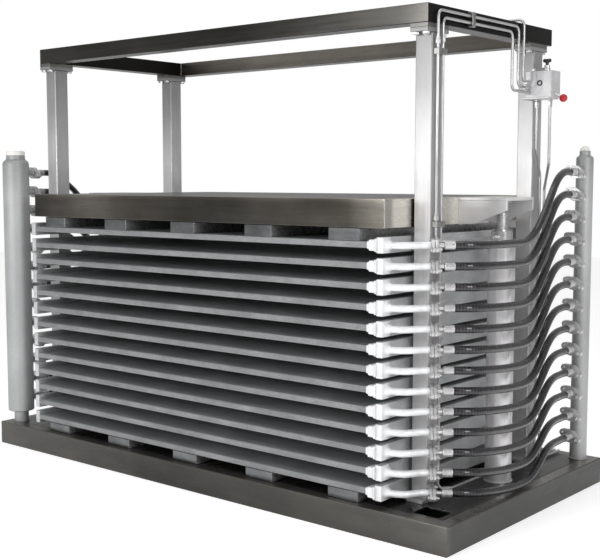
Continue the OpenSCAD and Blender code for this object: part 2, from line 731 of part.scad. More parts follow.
// Saddle with two channels that tubes at these heights run through.
module tube_clamp(y) {
  difference() {
    box([top_right + seam, y - 12, beam_z[1] - 16], [top_right + 24, y + 12, beam_z[0] + 16]);
    for (z = beam_z)
      translate([tube_x, y - 20, z]) rotate([-90, 0, 0]) cylinder(r = tube_r + seam, h = 40, $fn = 32);
  }
}
module column_clamp(z)
  difference() {
    box([top_right - 2.5 + seam, drop_y[0] - 9, z - 12], [top_right + 24, drop_y[1] + 14, z + 12]);
    for (y = drop_y)
      translate([tube_x, y, z - 20]) cylinder(r = tube_r + seam, h = 40, $fn = 32);
  }
// Block on the inner face of the front member, with one channel.
module inner_clamp(x)
  difference() {
    box([x - 14, inside_y - tube_stand + seam, inside_z - 13], [x + 14, inside_y + tube_r + 3, inside_z + 13]);
    translate([x - 20, inside_y, inside_z]) rotate([0, 90, 0]) cylinder(r = tube_r + seam, h = 40, $fn = 32);
  }
module tube_clamps() color([0.8, 0.8, 0.8]) {
  tube_clamp(top_front + 295);
  column_clamp(base_h + 0.96 * column_h);
  column_clamp(base_h + 0.6 * column_h);
  inner_clamp(top_right - 700);
  inner_clamp(top_left + 500);
}

module valve_block() color([0.8, 0.81, 0.82]) translate([valve_x, valve_y, valve_z]) {
  difference() {
    union() {
      box([-valve_l / 2, -valve_w / 2, 0], [valve_l / 2, valve_w / 2, valve_h]);
      // Fittings under the block, gauge plugs on top.
      for (x = [supply_x[0], supply_x[1]])
        translate([x - valve_x, 12, -12]) cylinder(r = 12, h = 13, $fn = 6);
      translate([-38, -10, valve_h - 1]) cylinder(r = 9, h = 15, $fn = 6);
      translate([-8, 14, valve_h - 1]) cylinder(r = 11, h = 19);
      translate([22, -6, valve_h - 1]) cylinder(r = 14, h = 27);
    }
    translate([22, -6, valve_h - 10]) cylinder(r = 7.05, h = 50);
    translate([valve_l / 2 - 24, -6, 14]) rotate([0, 90, 0]) cylinder(r = 8.05, h = 50);
  }
}

module valve_bracket() color(bright_steel) {
  // Angle bolted to the back of the column, with a shelf behind the block.
  z = valve_z + 10;
  face = column_right_x + column_x / 2 + seam;
  box([face, valve_y + valve_w / 2 + seam, z], [valve_x + valve_l / 2 - 10, valve_y + valve_w / 2 + 8, z + 90]);
}

lever_pivot = [valve_x + valve_l / 2 + 3, valve_y - 6, valve_z + 14];
module valve_lever() color([0.75, 0.1, 0.1]) translate(lever_pivot) {
  // Spindle into the block, then the arm and its ball.
  translate([-24, 0, 0]) rotate([0, 90, 0]) cylinder(r = 8, h = 30);
  translate([3, 0, 0]) rotate([0, 118, 0]) cylinder(r = 5, h = 28);
  translate([3, 0, 0]) rotate([0, 28, 0]) translate([38, 0, 0]) sphere(r = 17);
}

knob_place = [valve_x + 22, valve_y - 6, valve_z + valve_h];
module valve_knob() color([0.12, 0.12, 0.12]) translate(knob_place) {
  translate([0, 0, -8]) cylinder(r = 7, h = 46);
  translate([-17, 0, 44]) rotate([0, 90, 0]) cylinder(r = 8, h = 34);
}

base_frame();
deck_plate();
bottom_cross_beams();
column(column_places[0]);  // column_front_left
column(column_places[1]);  // column_front_right
column(column_places[2]);  // column_back_left
column(column_places[3]);  // column_back_right
column_bolts();
top_frame();
cylinder_barrel(cylinder_places[0]);  // cylinder_barrel_left
cylinder_barrel(cylinder_places[1]);  // cylinder_barrel_right
cylinder_glands();
header_left();
header_right();
header_flanges_left();
header_flanges_right();
header_cap_left();
header_cap_right();
cylinder_tubes();
supply_tubes();
tube_clamps();
valve_block();
valve_bracket();
valve_lever();
valve_knob();
press_frame();
press_cross_beams();
lift_bracket(cylinder_places[0], -1);  // lift_bracket_left
lift_bracket(cylinder_places[1], 1);  // lift_bracket_right
bracket_bolts();
piston_rod(cylinder_places[0]);  // piston_rod_left
piston_rod(cylinder_places[1]);  // piston_rod_right
plate(1);  // plate_01
plate(2);  // plate_02
plate(3);  // plate_03
plate(4);  // plate_04
plate(5);  // plate_05
plate(6);  // plate_06
plate(7);  // plate_07
plate(8);  // plate_08
plate(9);  // plate_09
plate(10);  // plate_10
plate(11);  // plate_11
plate(12);  // plate_12
plate(13);  // plate_13
hoses(1);  // hoses_01
hoses(2);  // hoses_02
hoses(3);  // hoses_03
hoses(4);  // hoses_04
hoses(5);  // hoses_05
hoses(6);  // hoses_06
hoses(7);  // hoses_07
hoses(8);  // hoses_08
hoses(9);  // hoses_09
hoses(10);  // hoses_10
hoses(11);  // hoses_11
hoses(12);  // hoses_12
hoses(13);  // hoses_13
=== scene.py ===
import math

import bmesh
import bpy
from mathutils import Matrix, Vector


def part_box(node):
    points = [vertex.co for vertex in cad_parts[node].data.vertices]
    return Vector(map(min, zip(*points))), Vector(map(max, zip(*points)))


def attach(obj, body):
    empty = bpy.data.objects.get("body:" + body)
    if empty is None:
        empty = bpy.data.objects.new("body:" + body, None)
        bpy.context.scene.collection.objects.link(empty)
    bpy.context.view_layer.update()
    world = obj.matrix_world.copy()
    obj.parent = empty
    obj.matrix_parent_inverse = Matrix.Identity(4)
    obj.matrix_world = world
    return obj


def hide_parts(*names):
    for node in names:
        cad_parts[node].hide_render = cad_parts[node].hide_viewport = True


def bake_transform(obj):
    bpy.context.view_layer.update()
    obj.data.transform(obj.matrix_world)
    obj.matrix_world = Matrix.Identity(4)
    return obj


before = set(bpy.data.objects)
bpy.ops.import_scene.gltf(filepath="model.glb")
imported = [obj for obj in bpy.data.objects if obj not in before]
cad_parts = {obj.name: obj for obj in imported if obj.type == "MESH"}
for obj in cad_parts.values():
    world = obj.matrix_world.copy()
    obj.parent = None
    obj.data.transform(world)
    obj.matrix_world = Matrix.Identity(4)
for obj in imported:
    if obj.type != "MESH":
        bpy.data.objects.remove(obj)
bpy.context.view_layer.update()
print("frame loaded,", len(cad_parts), "nodes")

# Sizes that several pieces share, in metres.
stack = {
    "middle": -0.032, "length": 2.169, "width": 1.24, "thick": 0.025, "count": 13,
    "firstPlate": 0.1705, "platePitch": 0.08, "firstPort": 0.2308, "portPitch": 0.0984,
    "barThick": 0.029, "barHeight": 0.062,
}
fitGap = 0.0003  # between pieces that meet face to face
corners = ("front_left", "front_right", "back_left", "back_right")
leftX = stack["middle"] - stack["length"] / 2
rightX = stack["middle"] + stack["length"] / 2
frontY = -stack["width"] / 2
backY = stack["width"] / 2


def plateHeight(i):
    return stack["firstPlate"] + (i - 1) * stack["platePitch"]


def portHeight(i):
    return stack["firstPort"] + (i - 1) * stack["portPitch"]


def bodyOf(i):  # the first plate is fixed, the last one is bolted to the press
    return "frame" if i == 1 else "press" if i == stack["count"] else f"level_{i:02d}"


view = {"place": (3.4287, -3.9559, 1.3813), "tilt": 84.67, "heading": 39.84, "lens": 65.08}


def addCamera():
    camera = bpy.data.objects.new("camera", bpy.data.cameras.new("camera"))
    camera.location = view["place"]
    camera.rotation_euler = [math.radians(view["tilt"]), 0, math.radians(view["heading"])]
    camera.data.lens = view["lens"]
    camera.data.sensor_width = 36
    camera.data.clip_end = 60
    bpy.context.scene.collection.objects.link(camera)
    bpy.context.scene.camera = camera


addCamera()
print("camera placed")


def newMaterial(name, metallic, roughness):
    material = bpy.data.materials.new(name)
    material.use_nodes = True
    shader = material.node_tree.nodes["Principled BSDF"]
    shader.inputs["Metallic"].default_value = metallic
    shader.inputs["Roughness"].default_value = roughness
    return material, material.node_tree, shader


def rampOf(tree, source, stops):
    ramp = tree.nodes.new("ShaderNodeValToRGB")
    while len(ramp.color_ramp.elements) < len(stops):
        ramp.color_ramp.elements.new(0.5)
    for element, (place, shade) in zip(ramp.color_ramp.elements, stops):
        element.position = place
        element.color = (*shade, 1) if isinstance(shade, tuple) else (shade, shade, shade, 1)
    tree.links.new(source, ramp.inputs["Fac"])
    return ramp.outputs["Color"]


def rangeOf(tree, source, start, end, low=0.0, high=1.0):
    ranged = tree.nodes.new("ShaderNodeMapRange")
    for socket, value in (("From Min", start), ("From Max", end), ("To Min", low), ("To Max", high)):
        ranged.inputs[socket].default_value = value
    tree.links.new(source, ranged.inputs["Value"])
    return ranged.outputs["Result"]


def noiseOf(tree, source, stretch, detail=4, roughness=0.55):
    mapping = tree.nodes.new("ShaderNodeMapping")
    mapping.inputs["Scale"].default_value = stretch
    noise = tree.nodes.new("ShaderNodeTexNoise")
    noise.inputs["Scale"].default_value = 1
    noise.inputs["Detail"].default_value = detail
    noise.inputs["Roughness"].default_value = roughness
    tree.links.new(source, mapping.inputs["Vector"])
    tree.links.new(mapping.outputs["Vector"], noise.inputs["Vector"])
    return noise.outputs["Fac"]


def multiplied(tree, first, second):
    mix = tree.nodes.new("ShaderNodeMix")
    mix.data_type = "RGBA"
    mix.blend_type = "MULTIPLY"
    mix.inputs["Factor"].default_value = 1.0
    tree.links.new(first, mix.inputs["A"])
    tree.links.new(second, mix.inputs["B"])
    return mix.outputs["Result"]


def addBump(tree, shader, height, strength, distance):
    bump = tree.nodes.new("ShaderNodeBump")
    bump.inputs["Strength"].default_value = strength
    bump.inputs["Distance"].default_value = distance
    tree.links.new(height, bump.inputs["Height"])
    tree.links.new(bump.outputs["Normal"], shader.inputs["Normal"])


def metalFinish(name, dark, light, grain, patch, rough, bump, metallic=1.0, paintedLightRamps=(), specks=0.0,
                streak=0.22):
    # Patches vary the tone of the colour at random, a stretched grain shades the gloss and the bump,
    # and each wash is a slow change of painted light and shade along one axis, standing in for reflections,
    # highlights and shadow.
    material, tree, shader = newMaterial(name, metallic, rough[0])
    coords = tree.nodes.new("ShaderNodeTexCoord").outputs["Object"]
    colour = rampOf(tree, noiseOf(tree, coords, patch), [(0.3, dark), (0.7, light)])
    grainNoise = noiseOf(tree, coords, grain, 6, 0.65)
    colour = multiplied(tree, colour, rampOf(tree, grainNoise, [(0.25, 1 - streak), (0.75, 1.0)]))
    if paintedLightRamps:
        axes = tree.nodes.new("ShaderNodeSeparateXYZ")
        tree.links.new(coords, axes.inputs["Vector"])
    for axis, start, end, stops in paintedLightRamps:
        along = rangeOf(tree, axes.outputs[axis], start, end)
        colour = multiplied(tree, colour, rampOf(tree, along, stops))
    if specks:
        speckNoise = noiseOf(tree, coords, (260, 260, 260), 2, 0.5)
        colour = multiplied(tree, colour, rampOf(tree, speckNoise, [(0.42, 1 - specks), (0.56, 1.0)]))
    tree.links.new(colour, shader.inputs["Base Color"])
    tree.links.new(rangeOf(tree, grainNoise, 0.3, 0.7, *rough), shader.inputs["Roughness"])
    if bump:
        addBump(tree, shader, grainNoise, bump, 0.001)
    return material


# Wire bundles round the hose, turns in a metre, and wires in a bundle.
braid = {"carriers": 12, "lay": 42, "wires": 5, "wireHeight": 0.3, "coat": 0.9, "coatRoughness": 0.1}


def braidFinish():
    # Two families of wires cross over each other, on the sweep's own UV map:
    # U runs once round the hose, V is metres along it.
    material, tree, shader = newMaterial("braided_hose", 0.9, 0.3)
    axes = tree.nodes.new("ShaderNodeSeparateXYZ")
    tree.links.new(tree.nodes.new("ShaderNodeTexCoord").outputs["UV"], axes.inputs["Vector"])

    def maths(operation, first, second=0):
        node = tree.nodes.new("ShaderNodeMath")
        node.operation = operation
        for socket, value in zip(node.inputs, (first, second)):
            if isinstance(value, (int, float)):
                socket.default_value = value
            else:
                tree.links.new(value, socket)
        return node.outputs["Value"]

    around = maths("MULTIPLY", axes.outputs["X"], 2 * math.pi * braid["carriers"])
    along = maths("MULTIPLY", axes.outputs["Y"], 2 * math.pi * braid["lay"])
    rising = maths("ADD", around, along)
    falling = maths("SUBTRACT", around, along)
    weave = maths("MULTIPLY", maths("SINE", rising), maths("SINE", falling))
    wires = maths("SINE", maths("MULTIPLY", rising, braid["wires"]))
    height = maths("ADD", weave, maths("MULTIPLY", wires, braid["wireHeight"]))
    # The colour is darker down in the weave and lighter on its crests: painted shade in the hollows and
    # painted light on the wires.
    colour = rampOf(tree, rangeOf(tree, height, -1.2, 1.2), [
        (0.0, (0.008, 0.0075, 0.009)), (0.5, (0.026, 0.024, 0.028)), (1.0, (0.1, 0.096, 0.105))])
    scuffs = noiseOf(tree, tree.nodes.new("ShaderNodeTexCoord").outputs["Object"], (60, 60, 60))
    colour = multiplied(tree, colour, rampOf(tree, scuffs, [(0.35, 0.6), (0.62, 1.0)]))
    tree.links.new(colour, shader.inputs["Base Color"])
    tree.links.new(rangeOf(tree, scuffs, 0.3, 0.7, 0.22, 0.42), shader.inputs["Roughness"])
    shader.inputs["Coat Weight"].default_value = braid["coat"]
    shader.inputs["Coat Roughness"].default_value = braid["coatRoughness"]
    addBump(tree, shader, height, 0.3, 0.0008)
    return material


finishes = {
    # Its dark colour stands in for the reflection of a dark room, and its ramps paint reflections along the
    # skirt and a painted highlight on its top rim.
    "dark": metalFinish("dark_stainless", (0.05, 0.049, 0.046), (0.115, 0.11, 0.1), (1.5, 30, 60),
                        (1.6, 2, 4), metallic=0.85, rough=(0.24, 0.34), bump=0.02, streak=0.1,
                        paintedLightRamps=[("X", -1.3, 1.37, [(0, 1.2), (0.3, 0.9), (0.55, 0.62), (0.9, 0.9), (1, 1.4)]),
                                ("Z", 0.1, 0.114, [(0, 1.0), (0.7, 1.1), (1, 2.2)])]),
    # The skirt's ends, looking along X, take this darker copy, painted shade, with a painted highlight at the
    # front edge and on the top rim.
    "darkEnd": metalFinish("dark_stainless_end_painted_shade", (0.036, 0.035, 0.034), (0.075, 0.073, 0.071), (30, 1.5, 60),
                           (2, 1.6, 4), metallic=0.85, rough=(0.24, 0.34), bump=0.02, streak=0.1,
                           paintedLightRamps=[("Y", -0.66, 0.66, [(0, 1.8), (0.03, 1.0), (0.3, 0.85), (0.6, 1.1),
                                                       (1, 0.9)]),
                                   ("Z", 0.1, 0.114, [(0, 1.0), (0.7, 1.1), (1, 2.0)])]),
    "black": metalFinish("shaded_stainless", (0.01, 0.01, 0.009), (0.028, 0.027, 0.025), (60, 2, 160),
                         (3, 2.2, 3), rough=(0.3, 0.45), bump=0.02, streak=0.1),
    "deck": metalFinish("deck_sheet", (0.07, 0.066, 0.066), (0.13, 0.124, 0.12), (30, 3, 30), (5, 5, 5),
                        metallic=0.9, rough=(0.2, 0.36), bump=0.03),
    # The ramp along Z is painted light: brightest about three quarters up, with painted shade towards the
    # top.
    "column": metalFinish("column_sheet", (0.6, 0.596, 0.6), (0.75, 0.742, 0.746), (160, 160, 2), (9, 9, 2.5),
                          metallic=0.55, rough=(0.28, 0.42), bump=0.04, streak=0.12,
                          paintedLightRamps=[("Z", 0.1, 2.0, [(0, 0.82), (0.35, 0.88), (0.6, 1.0), (0.72, 1.08),
                                                   (0.86, 0.62), (1, 0.42)])]),
    # The column sides that look along X take this darker copy, painted shade, with its own painted ramp along
    # Z.
    "columnSide": metalFinish("column_side_painted_shade", (0.42, 0.415, 0.42), (0.58, 0.572, 0.58), (160, 160, 2),
                              (9, 9, 2.5), metallic=0.5, rough=(0.28, 0.42), bump=0.04, streak=0.12,
                              paintedLightRamps=[("Z", 0.1, 2.0, [(0, 0.85), (0.4, 0.9), (0.7, 1.2), (0.88, 0.8),
                                                       (1, 0.55)])]),
    "plate": metalFinish("plate_aluminium", (0.3, 0.32, 0.325), (0.42, 0.44, 0.445), (3, 120, 120),
                         (5, 5, 5), metallic=0.4, rough=(0.4, 0.56), bump=0.05),
    "plateEdge": metalFinish("plate_edge", (0.25, 0.255, 0.26), (0.35, 0.355, 0.36), (40, 160, 160),
                             (9, 9, 9), metallic=0.45, rough=(0.42, 0.6), bump=0.08, specks=0.25),
    "bar": metalFinish("bar_aluminium", (0.56, 0.57, 0.58), (0.74, 0.75, 0.76), (30, 12, 60), (16, 9, 16),
                       metallic=0.45, rough=(0.35, 0.6), bump=0.08, specks=0.08),
    "weld": metalFinish("blasted_aluminium", (0.76, 0.77, 0.78), (0.9, 0.905, 0.915), (50, 50, 50),
                        (26, 26, 26), metallic=0.3, rough=(0.34, 0.52), bump=0.08, streak=0.1),
    # The ramp along Z paints the pipe darker near its top, painted shade.
    "pipe": metalFinish("sprayed_pipe", (0.42, 0.425, 0.428), (0.53, 0.535, 0.538), (120, 120, 120),
                        (7, 7, 3), metallic=0.4, rough=(0.42, 0.6), bump=0.16, specks=0.1, streak=0.14,
                        paintedLightRamps=[("Z", 0.1, 1.5, [(0, 0.95), (0.85, 1.0), (0.97, 0.72), (1, 0.8)])]),
    "barrel": metalFinish("honed_barrel", (0.78, 0.765, 0.78), (0.88, 0.865, 0.88), (160, 160, 4), (8, 8, 3),
                          metallic=0.4, rough=(0.25, 0.38), bump=0.03, streak=0.1),
    "bright": metalFinish("bright_steel", (0.5, 0.495, 0.5), (0.7, 0.695, 0.7), (40, 40, 40), (14, 14, 14),
                          metallic=0.7, rough=(0.22, 0.38), bump=0.04, streak=0.12),
    "bracket": metalFinish("bracket_sheet", (0.74, 0.73, 0.735), (0.88, 0.87, 0.875), (8, 8, 60), (5, 5, 5),
                           metallic=0.4, rough=(0.28, 0.4), bump=0.03, streak=0.08),
    "tube": metalFinish("drawn_tube", (0.46, 0.455, 0.46), (0.6, 0.595, 0.6), (8, 8, 8), (9, 9, 9),
                        metallic=0.8, rough=(0.26, 0.36), bump=0.0, streak=0.06),
    "clamp": metalFinish("clamp_steel", (0.3, 0.3, 0.3), (0.45, 0.45, 0.44), (60, 60, 60), (20, 20, 20),
                         rough=(0.25, 0.4), bump=0.05),
    "chrome": metalFinish("hard_chrome", (0.66, 0.66, 0.68), (0.74, 0.74, 0.76), (60, 60, 3), (6, 6, 2),
                          rough=(0.06, 0.14), bump=0.0, streak=0.04),
    "cap": metalFinish("cap_plastic", (0.74, 0.735, 0.69), (0.84, 0.83, 0.79), (120, 120, 120), (30, 30, 30),
                       metallic=0.0, rough=(0.35, 0.5), bump=0.05, streak=0.08),
    "valve": metalFinish("anodised_block", (0.52, 0.52, 0.53), (0.65, 0.65, 0.66), (120, 120, 120),
                         (12, 12, 12), metallic=0.35, rough=(0.3, 0.45), bump=0.06, streak=0.1),
    "red": metalFinish("ball_plastic", (0.42, 0.008, 0.012), (0.55, 0.014, 0.016), (80, 80, 80), (20, 20, 20),
                       metallic=0.0, rough=(0.14, 0.24), bump=0.02),
    "knobPlastic": metalFinish("knob_plastic", (0.012, 0.012, 0.012), (0.03, 0.03, 0.03), (90, 90, 90),
                               (30, 30, 30), metallic=0.0, rough=(0.3, 0.42), bump=0.08),
    "braid": braidFinish(),
}
print("finishes made")


def closed(part):
    rims = [edge for edge in part.edges if edge.is_boundary]
    if rims:
        bmesh.ops.holes_fill(part, edges=rims, sides=0)
    bmesh.ops.recalc_face_normals(part, faces=part.faces)
    return part


def rounded(part, edges, size, segments):
    bmesh.ops.bevel(part, geom=edges, offset=size, offset_type="OFFSET", segments=segments, profile=0.5,
                    affect="EDGES", clamp_overlap=True, material=-1)
    return part


def block(low, high, edge, segments=2):
    part = bmesh.new()
    bmesh.ops.create_cube(part, size=1)
    bmesh.ops.scale(part, vec=Vector(high) - Vector(low), verts=part.verts)
    bmesh.ops.translate(part, vec=(Vector(high) + Vector(low)) / 2, verts=part.verts)
    return rounded(part, part.edges[:], edge, segments)


def turned(profile, steps):
    # A profile of radius and height, spun round Z.
    part = bmesh.new()
    verts = [part.verts.new((radius, 0, height)) for radius, height in profile]
    edges = [part.edges.new(pair) for pair in zip(verts, verts[1:])]
    bmesh.ops.spin(part, geom=verts + edges, axis=(0, 0, 1), cent=(0, 0, 0), angle=2 * math.pi,
                   steps=steps, use_merge=True)
    bmesh.ops.remove_doubles(part, verts=part.verts, dist=1e-6)
    return closed(part)


def slab(outline, depth, edge=0.0, segments=2):
    # A flat outline raised along Z, with its two rims rounded.
    part = bmesh.new()
    face = part.faces.new([part.verts.new((x, y, 0)) for x, y in outline])
    grown = bmesh.ops.extrude_face_region(part, geom=[face])["geom"]
    raised = [item for item in grown if isinstance(item, bmesh.types.BMVert)]
    bmesh.ops.translate(part, vec=(0, 0, depth), verts=raised)
    closed(part)
    if edge:
        rim = [e for e in part.edges if abs(e.verts[0].co.z - e.verts[1].co.z) < 1e-7]
        rounded(part, rim, edge, segments)
    return part


def hexagon(radius, height, edge=0.0008):
    outline = [(radius * math.cos(math.radians(60 * k)), radius * math.sin(math.radians(60 * k)))
               for k in range(6)]
    return slab(outline, height, edge, 1)


def ring(low, high, width, edge):
    # A rectangular frame of box section, mitred at its corners.
    low, high = Vector(low), Vector(high)

    def outside(item):
        middle = (item.verts[0].co + item.verts[1].co) / 2
        return min(middle.x - low.x, high.x - middle.x, middle.y - low.y, high.y - middle.y) < width / 2

    part = bmesh.new()
    outer, inner = (
        [part.verts.new((x, y, low.z)) for x, y in
         ((low.x + inset, low.y + inset), (high.x - inset, low.y + inset),
          (high.x - inset, high.y - inset), (low.x + inset, high.y - inset))]
        for inset in (0, width))
    for k in range(4):
        following = (k + 1) % 4
        part.faces.new((outer[k], outer[following], inner[following], inner[k]))
    copied = bmesh.ops.duplicate(part, geom=part.faces[:])["geom"]
    top = [item for item in copied if isinstance(item, bmesh.types.BMVert)]
    bmesh.ops.translate(part, vec=(0, 0, high.z - low.z), verts=top)
    rims = [item for item in part.edges if item.is_boundary]
    for wanted in (True, False):
        bmesh.ops.bridge_loops(part, edges=[item for item in rims if outside(item) == wanted])
    bmesh.ops.recalc_face_normals(part, faces=part.faces)
    # Its ends, looking along X, take the second finish: a copy with painted light and shade.
    paintLightOnSides(part)
    sharp = [item for item in part.edges if item.calc_face_angle(0) > 0.5]
    return rounded(part, sharp, edge, 3)


def framesAlong(path):
    # One turning frame for each point, carried along without twist.
    last = len(path) - 1
    ways = [(path[min(i + 1, last)] - path[max(i - 1, 0)]).normalized() for i in range(last + 1)]
    turn = ways[0].to_track_quat("Z", "Y")
    frames = []
    for i, way in enumerate(ways):
        if i:
            turn = ways[i - 1].rotation_difference(way) @ turn
        frames.append(Matrix.Translation(path[i]) @ turn.to_matrix().to_4x4())
    return frames


def sweep(path, radii, sides):
    # A ring is extruded from frame to frame; radii is one size, or one for each point.
    radii = radii if isinstance(radii, list) else [radii] * len(path)
    part = bmesh.new()
    uvMap = part.loops.layers.uv.new("UVMap")
    frames = framesAlong(path)
    verts = bmesh.ops.create_circle(part, cap_ends=False, segments=sides, radius=radii[0])["verts"]
    bmesh.ops.transform(part, matrix=frames[0], verts=verts)
    edges = part.edges[:]
    travelled = 0.0
    for i in range(1, len(path)):
        made = bmesh.ops.extrude_edge_only(part, edges=edges)["geom"]
        verts = {item for item in made if isinstance(item, bmesh.types.BMVert)}
        edges = [item for item in made if isinstance(item, bmesh.types.BMEdge) and set(item.verts) <= verts]
        back = frames[i - 1].inverted()
        grow = Matrix.Scale(radii[i] / radii[i - 1], 4)
        bmesh.ops.transform(part, matrix=frames[i] @ grow @ back, verts=list(verts))
        step = (path[i] - path[i - 1]).length
        here = frames[i].inverted()
        for face in (item for item in made if isinstance(item, bmesh.types.BMFace)):
            turns = []
            for loop in face.loops:
                fresh = loop.vert in verts
                local = (here if fresh else back) @ loop.vert.co
                turns.append((math.atan2(local.y, local.x) / (2 * math.pi) + 0.5, fresh))
            highest = max(turn for turn, fresh in turns)
            for loop, (turn, fresh) in zip(face.loops, turns):
                around = turn + 1 if highest - turn > 0.5 else turn
                loop[uvMap].uv = (around, travelled + (step if fresh else 0))
        travelled += step
    return closed(part)


def bent(points, radius, steps=5):
    # Straight runs with round bends, as a tube bender leaves them.
    points = [Vector(point) for point in points]
    path = [points[0]]
    for before, corner, after in zip(points, points[1:], points[2:]):
        first, second = (corner - before).normalized(), (after - corner).normalized()
        turn = first.angle(second)
        if turn < 0.02:
            path.append(corner)
            continue
        back = radius * math.tan(turn / 2)
        middle = corner + (second - first).normalized() * radius / math.cos(turn / 2)
        start, end = corner - first * back - middle, corner + second * back - middle
        for k in range(steps + 1):
            share = k / steps
            path.append(middle + (start * math.sin((1 - share) * turn) + end * math.sin(share * turn))
                        / math.sin(turn))
    return path + [points[-1]]


def flowing(points, steps):
    # A smooth curve through every point.
    points = [Vector(point) for point in points]
    path = []
    for i in range(len(points) - 1):
        a, b, c, d = (points[max(0, min(len(points) - 1, i + k))] for k in (-1, 0, 1, 2))
        for k in range(steps):
            t = k / steps
            path.append(0.5 * (2 * b + (c - a) * t + (2 * a - 5 * b + 4 * c - d) * t * t
                               + (3 * b - 3 * c + d - a) * t * t * t))
    return path + [points[-1]]


def bead(path, size, sides=6):
    # A weld bead: its ripples are one ring apart.
    radii = [size * (1.15 if k % 2 else 0.9) for k in range(len(path))]
    return sweep(path, radii, sides)


def circlePath(radius, height, count=26):
    return [Vector((radius * math.cos(2 * math.pi * k / count), radius * math.sin(2 * math.pi * k / count),
                    height)) for k in range(count + 1)]


def straight(start, end, step=0.004):
    start, end = Vector(start), Vector(end)
    count = max(1, round((end - start).length / step))
    return [start.lerp(end, k / count) for k in range(count + 1)]


def asMesh(part, name="shape"):
    mesh = bpy.data.meshes.new(name)
    part.to_mesh(mesh)
    part.free()
    return mesh


def stamp(target, mesh, place=Matrix()):
    copy = mesh.copy()
    copy.transform(place)
    target.from_mesh(copy)
    bpy.data.meshes.remove(copy)


def put(target, part, place=Matrix()):
    mesh = asMesh(part)
    stamp(target, mesh, place)
    bpy.data.meshes.remove(mesh)


def finished(name, part, finish, body, nodes, angle=40):
    # The bmesh becomes a piece that rides on a body and stands for its nodes.
    mesh = asMesh(part, name)
    for each in [finish] if isinstance(finish, str) else finish:
        mesh.materials.append(finishes[each])
    mesh.shade_smooth()
    mesh.set_sharp_from_angle(angle=math.radians(angle))
    piece = bpy.data.objects.new(name, mesh)
    bpy.context.scene.collection.objects.link(piece)
    weighted = piece.modifiers.new("normals", "WEIGHTED_NORMAL")
    weighted.keep_sharp = True
    if body:
        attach(piece, body)
    if nodes:
        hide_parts(*nodes)
    return piece


def paintLightOnSides(part):
    # Faces that look along X take the second finish, a copy of the first with its own painted light and shade
    # for that side.
    for face in part.faces:
        if abs(face.normal.x) > 0.8:
            face.material_index = 1


# Routes from plate to header: X, Y, share of the climb on the highest and lowest hose, share of the slack.
hose = {"radius": 0.016, "sides": 16, "steps": 5, "slackLow": 0.037, "slackHigh": 0.004}
routeRight = [
    (1.2524, -0.4287, 0, 0, 0), (1.291, -0.3975, 0, 0, 0), (1.315, -0.357, 0, 0, 0.1),
    (1.327, -0.3, 0, 0, 0.3), (1.332, -0.24, 0, 0, 0.55), (1.334, -0.17, 0, 0, 0.8),
    (1.335, -0.1, 0, 0, 0.95), (1.335, -0.04, 0.01, 0, 1), (1.334, 0.02, 0.07, 0.03, 0.97),
    (1.332, 0.08, 0.2, 0.2, 0.75), (1.328, 0.14, 0.39, 0.52, 0.4), (1.321, 0.2, 0.6, 0.82, 0.08),
    (1.312, 0.26, 0.79, 0.96, -0.08), (1.302, 0.32, 0.92, 1, -0.08), (1.295, 0.375, 0.985, 1, -0.02),
    (1.2915, 0.41, 1, 1, 0), (1.2915, 0.4394, 1, 1, 0)]
routeLeft = [
    (-1.2987, 0.4201, 0, 0, 0), (-1.3187, 0.3854, 0, 0, 0), (-1.332, 0.348, 0, 0, 0.1),
    (-1.3395, 0.303, 0, 0, 0.3), (-1.342, 0.24, 0, 0, 0.55), (-1.342, 0.17, 0, 0, 0.85),
    (-1.342, 0.1, 0.01, 0.01, 1), (-1.342, 0.04, 0.07, 0.07, 1), (-1.342, -0.02, 0.2, 0.2, 0.75),
    (-1.341, -0.08, 0.36, 0.36, 0.35), (-1.336, -0.135, 0.525, 0.525, -0.05),
    (-1.329, -0.185, 0.675, 0.675, -0.3), (-1.32, -0.24, 0.8, 0.8, -0.4), (-1.311, -0.295, 0.9, 0.9, -0.35),
    (-1.304, -0.345, 0.975, 0.975, -0.12), (-1.3025, -0.376, 1, 1, 0), (-1.3025, -0.4049, 1, 1, 0)]


def hosePath(route, i):
    climb = portHeight(i) - plateHeight(i)
    share = (i - 1) / (stack["count"] - 1)
    slack = hose["slackLow"] + (hose["slackHigh"] - hose["slackLow"]) * share
    points = [(x, y, plateHeight(i) + (low + (high - low) * share) * climb - down * slack)
              for x, y, high, low, down in route]
    return flowing(points, hose["steps"])


def addHoses():
    for i in range(1, stack["count"] + 1):
        for side, route in (("right", routeRight), ("left", routeLeft)):
            path = hosePath(route, i)
            part = sweep(path, hose["radius"], hose["sides"])
            fixed = i == 1
            piece = finished(f"hose_{side}_{i:02d}", part, "braid", "frame" if fixed else None,
                             [f"hoses_{i:02d}"])
            if not fixed:
                inset = 0.03 if side == "right" else -0.03
                start, end = path[0].copy(), path[-1].copy()
                start.y += inset
                end.y -= inset
                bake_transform(piece)


addHoses()
print("hoses made")


joint = {"thick": 0.012, "boltGap": 0.031, "bolt": 0.005, "boss": 0.025, "ear": 0.013, "spigot": 0.021,
         "hub": 0.016, "neck": 0.0095, "sleeve": 0.0175, "crimps": 4}


def jointOutline(size):
    # Two ears and a round middle, joined by their tangents.
    boss, ear, gap = joint["boss"], joint["ear"], joint["boltGap"]
    lean = math.degrees(math.asin((boss - ear) / gap))
    arcs = ((gap, ear, lean, 180 - lean, 7), (0, boss, 180 - lean, 180 + lean, 4),
            (-gap, ear, 180 + lean, 360 - lean, 7), (0, boss, -lean, lean, 4))
    outline = []
    for centre, radius, start, end, count in arcs:
        for k in range(count):
            angle = math.radians(start + (end - start) * k / (count - 1))
            outline.append((size * radius * math.cos(angle), size * (centre + radius * math.sin(angle))))
    return outline


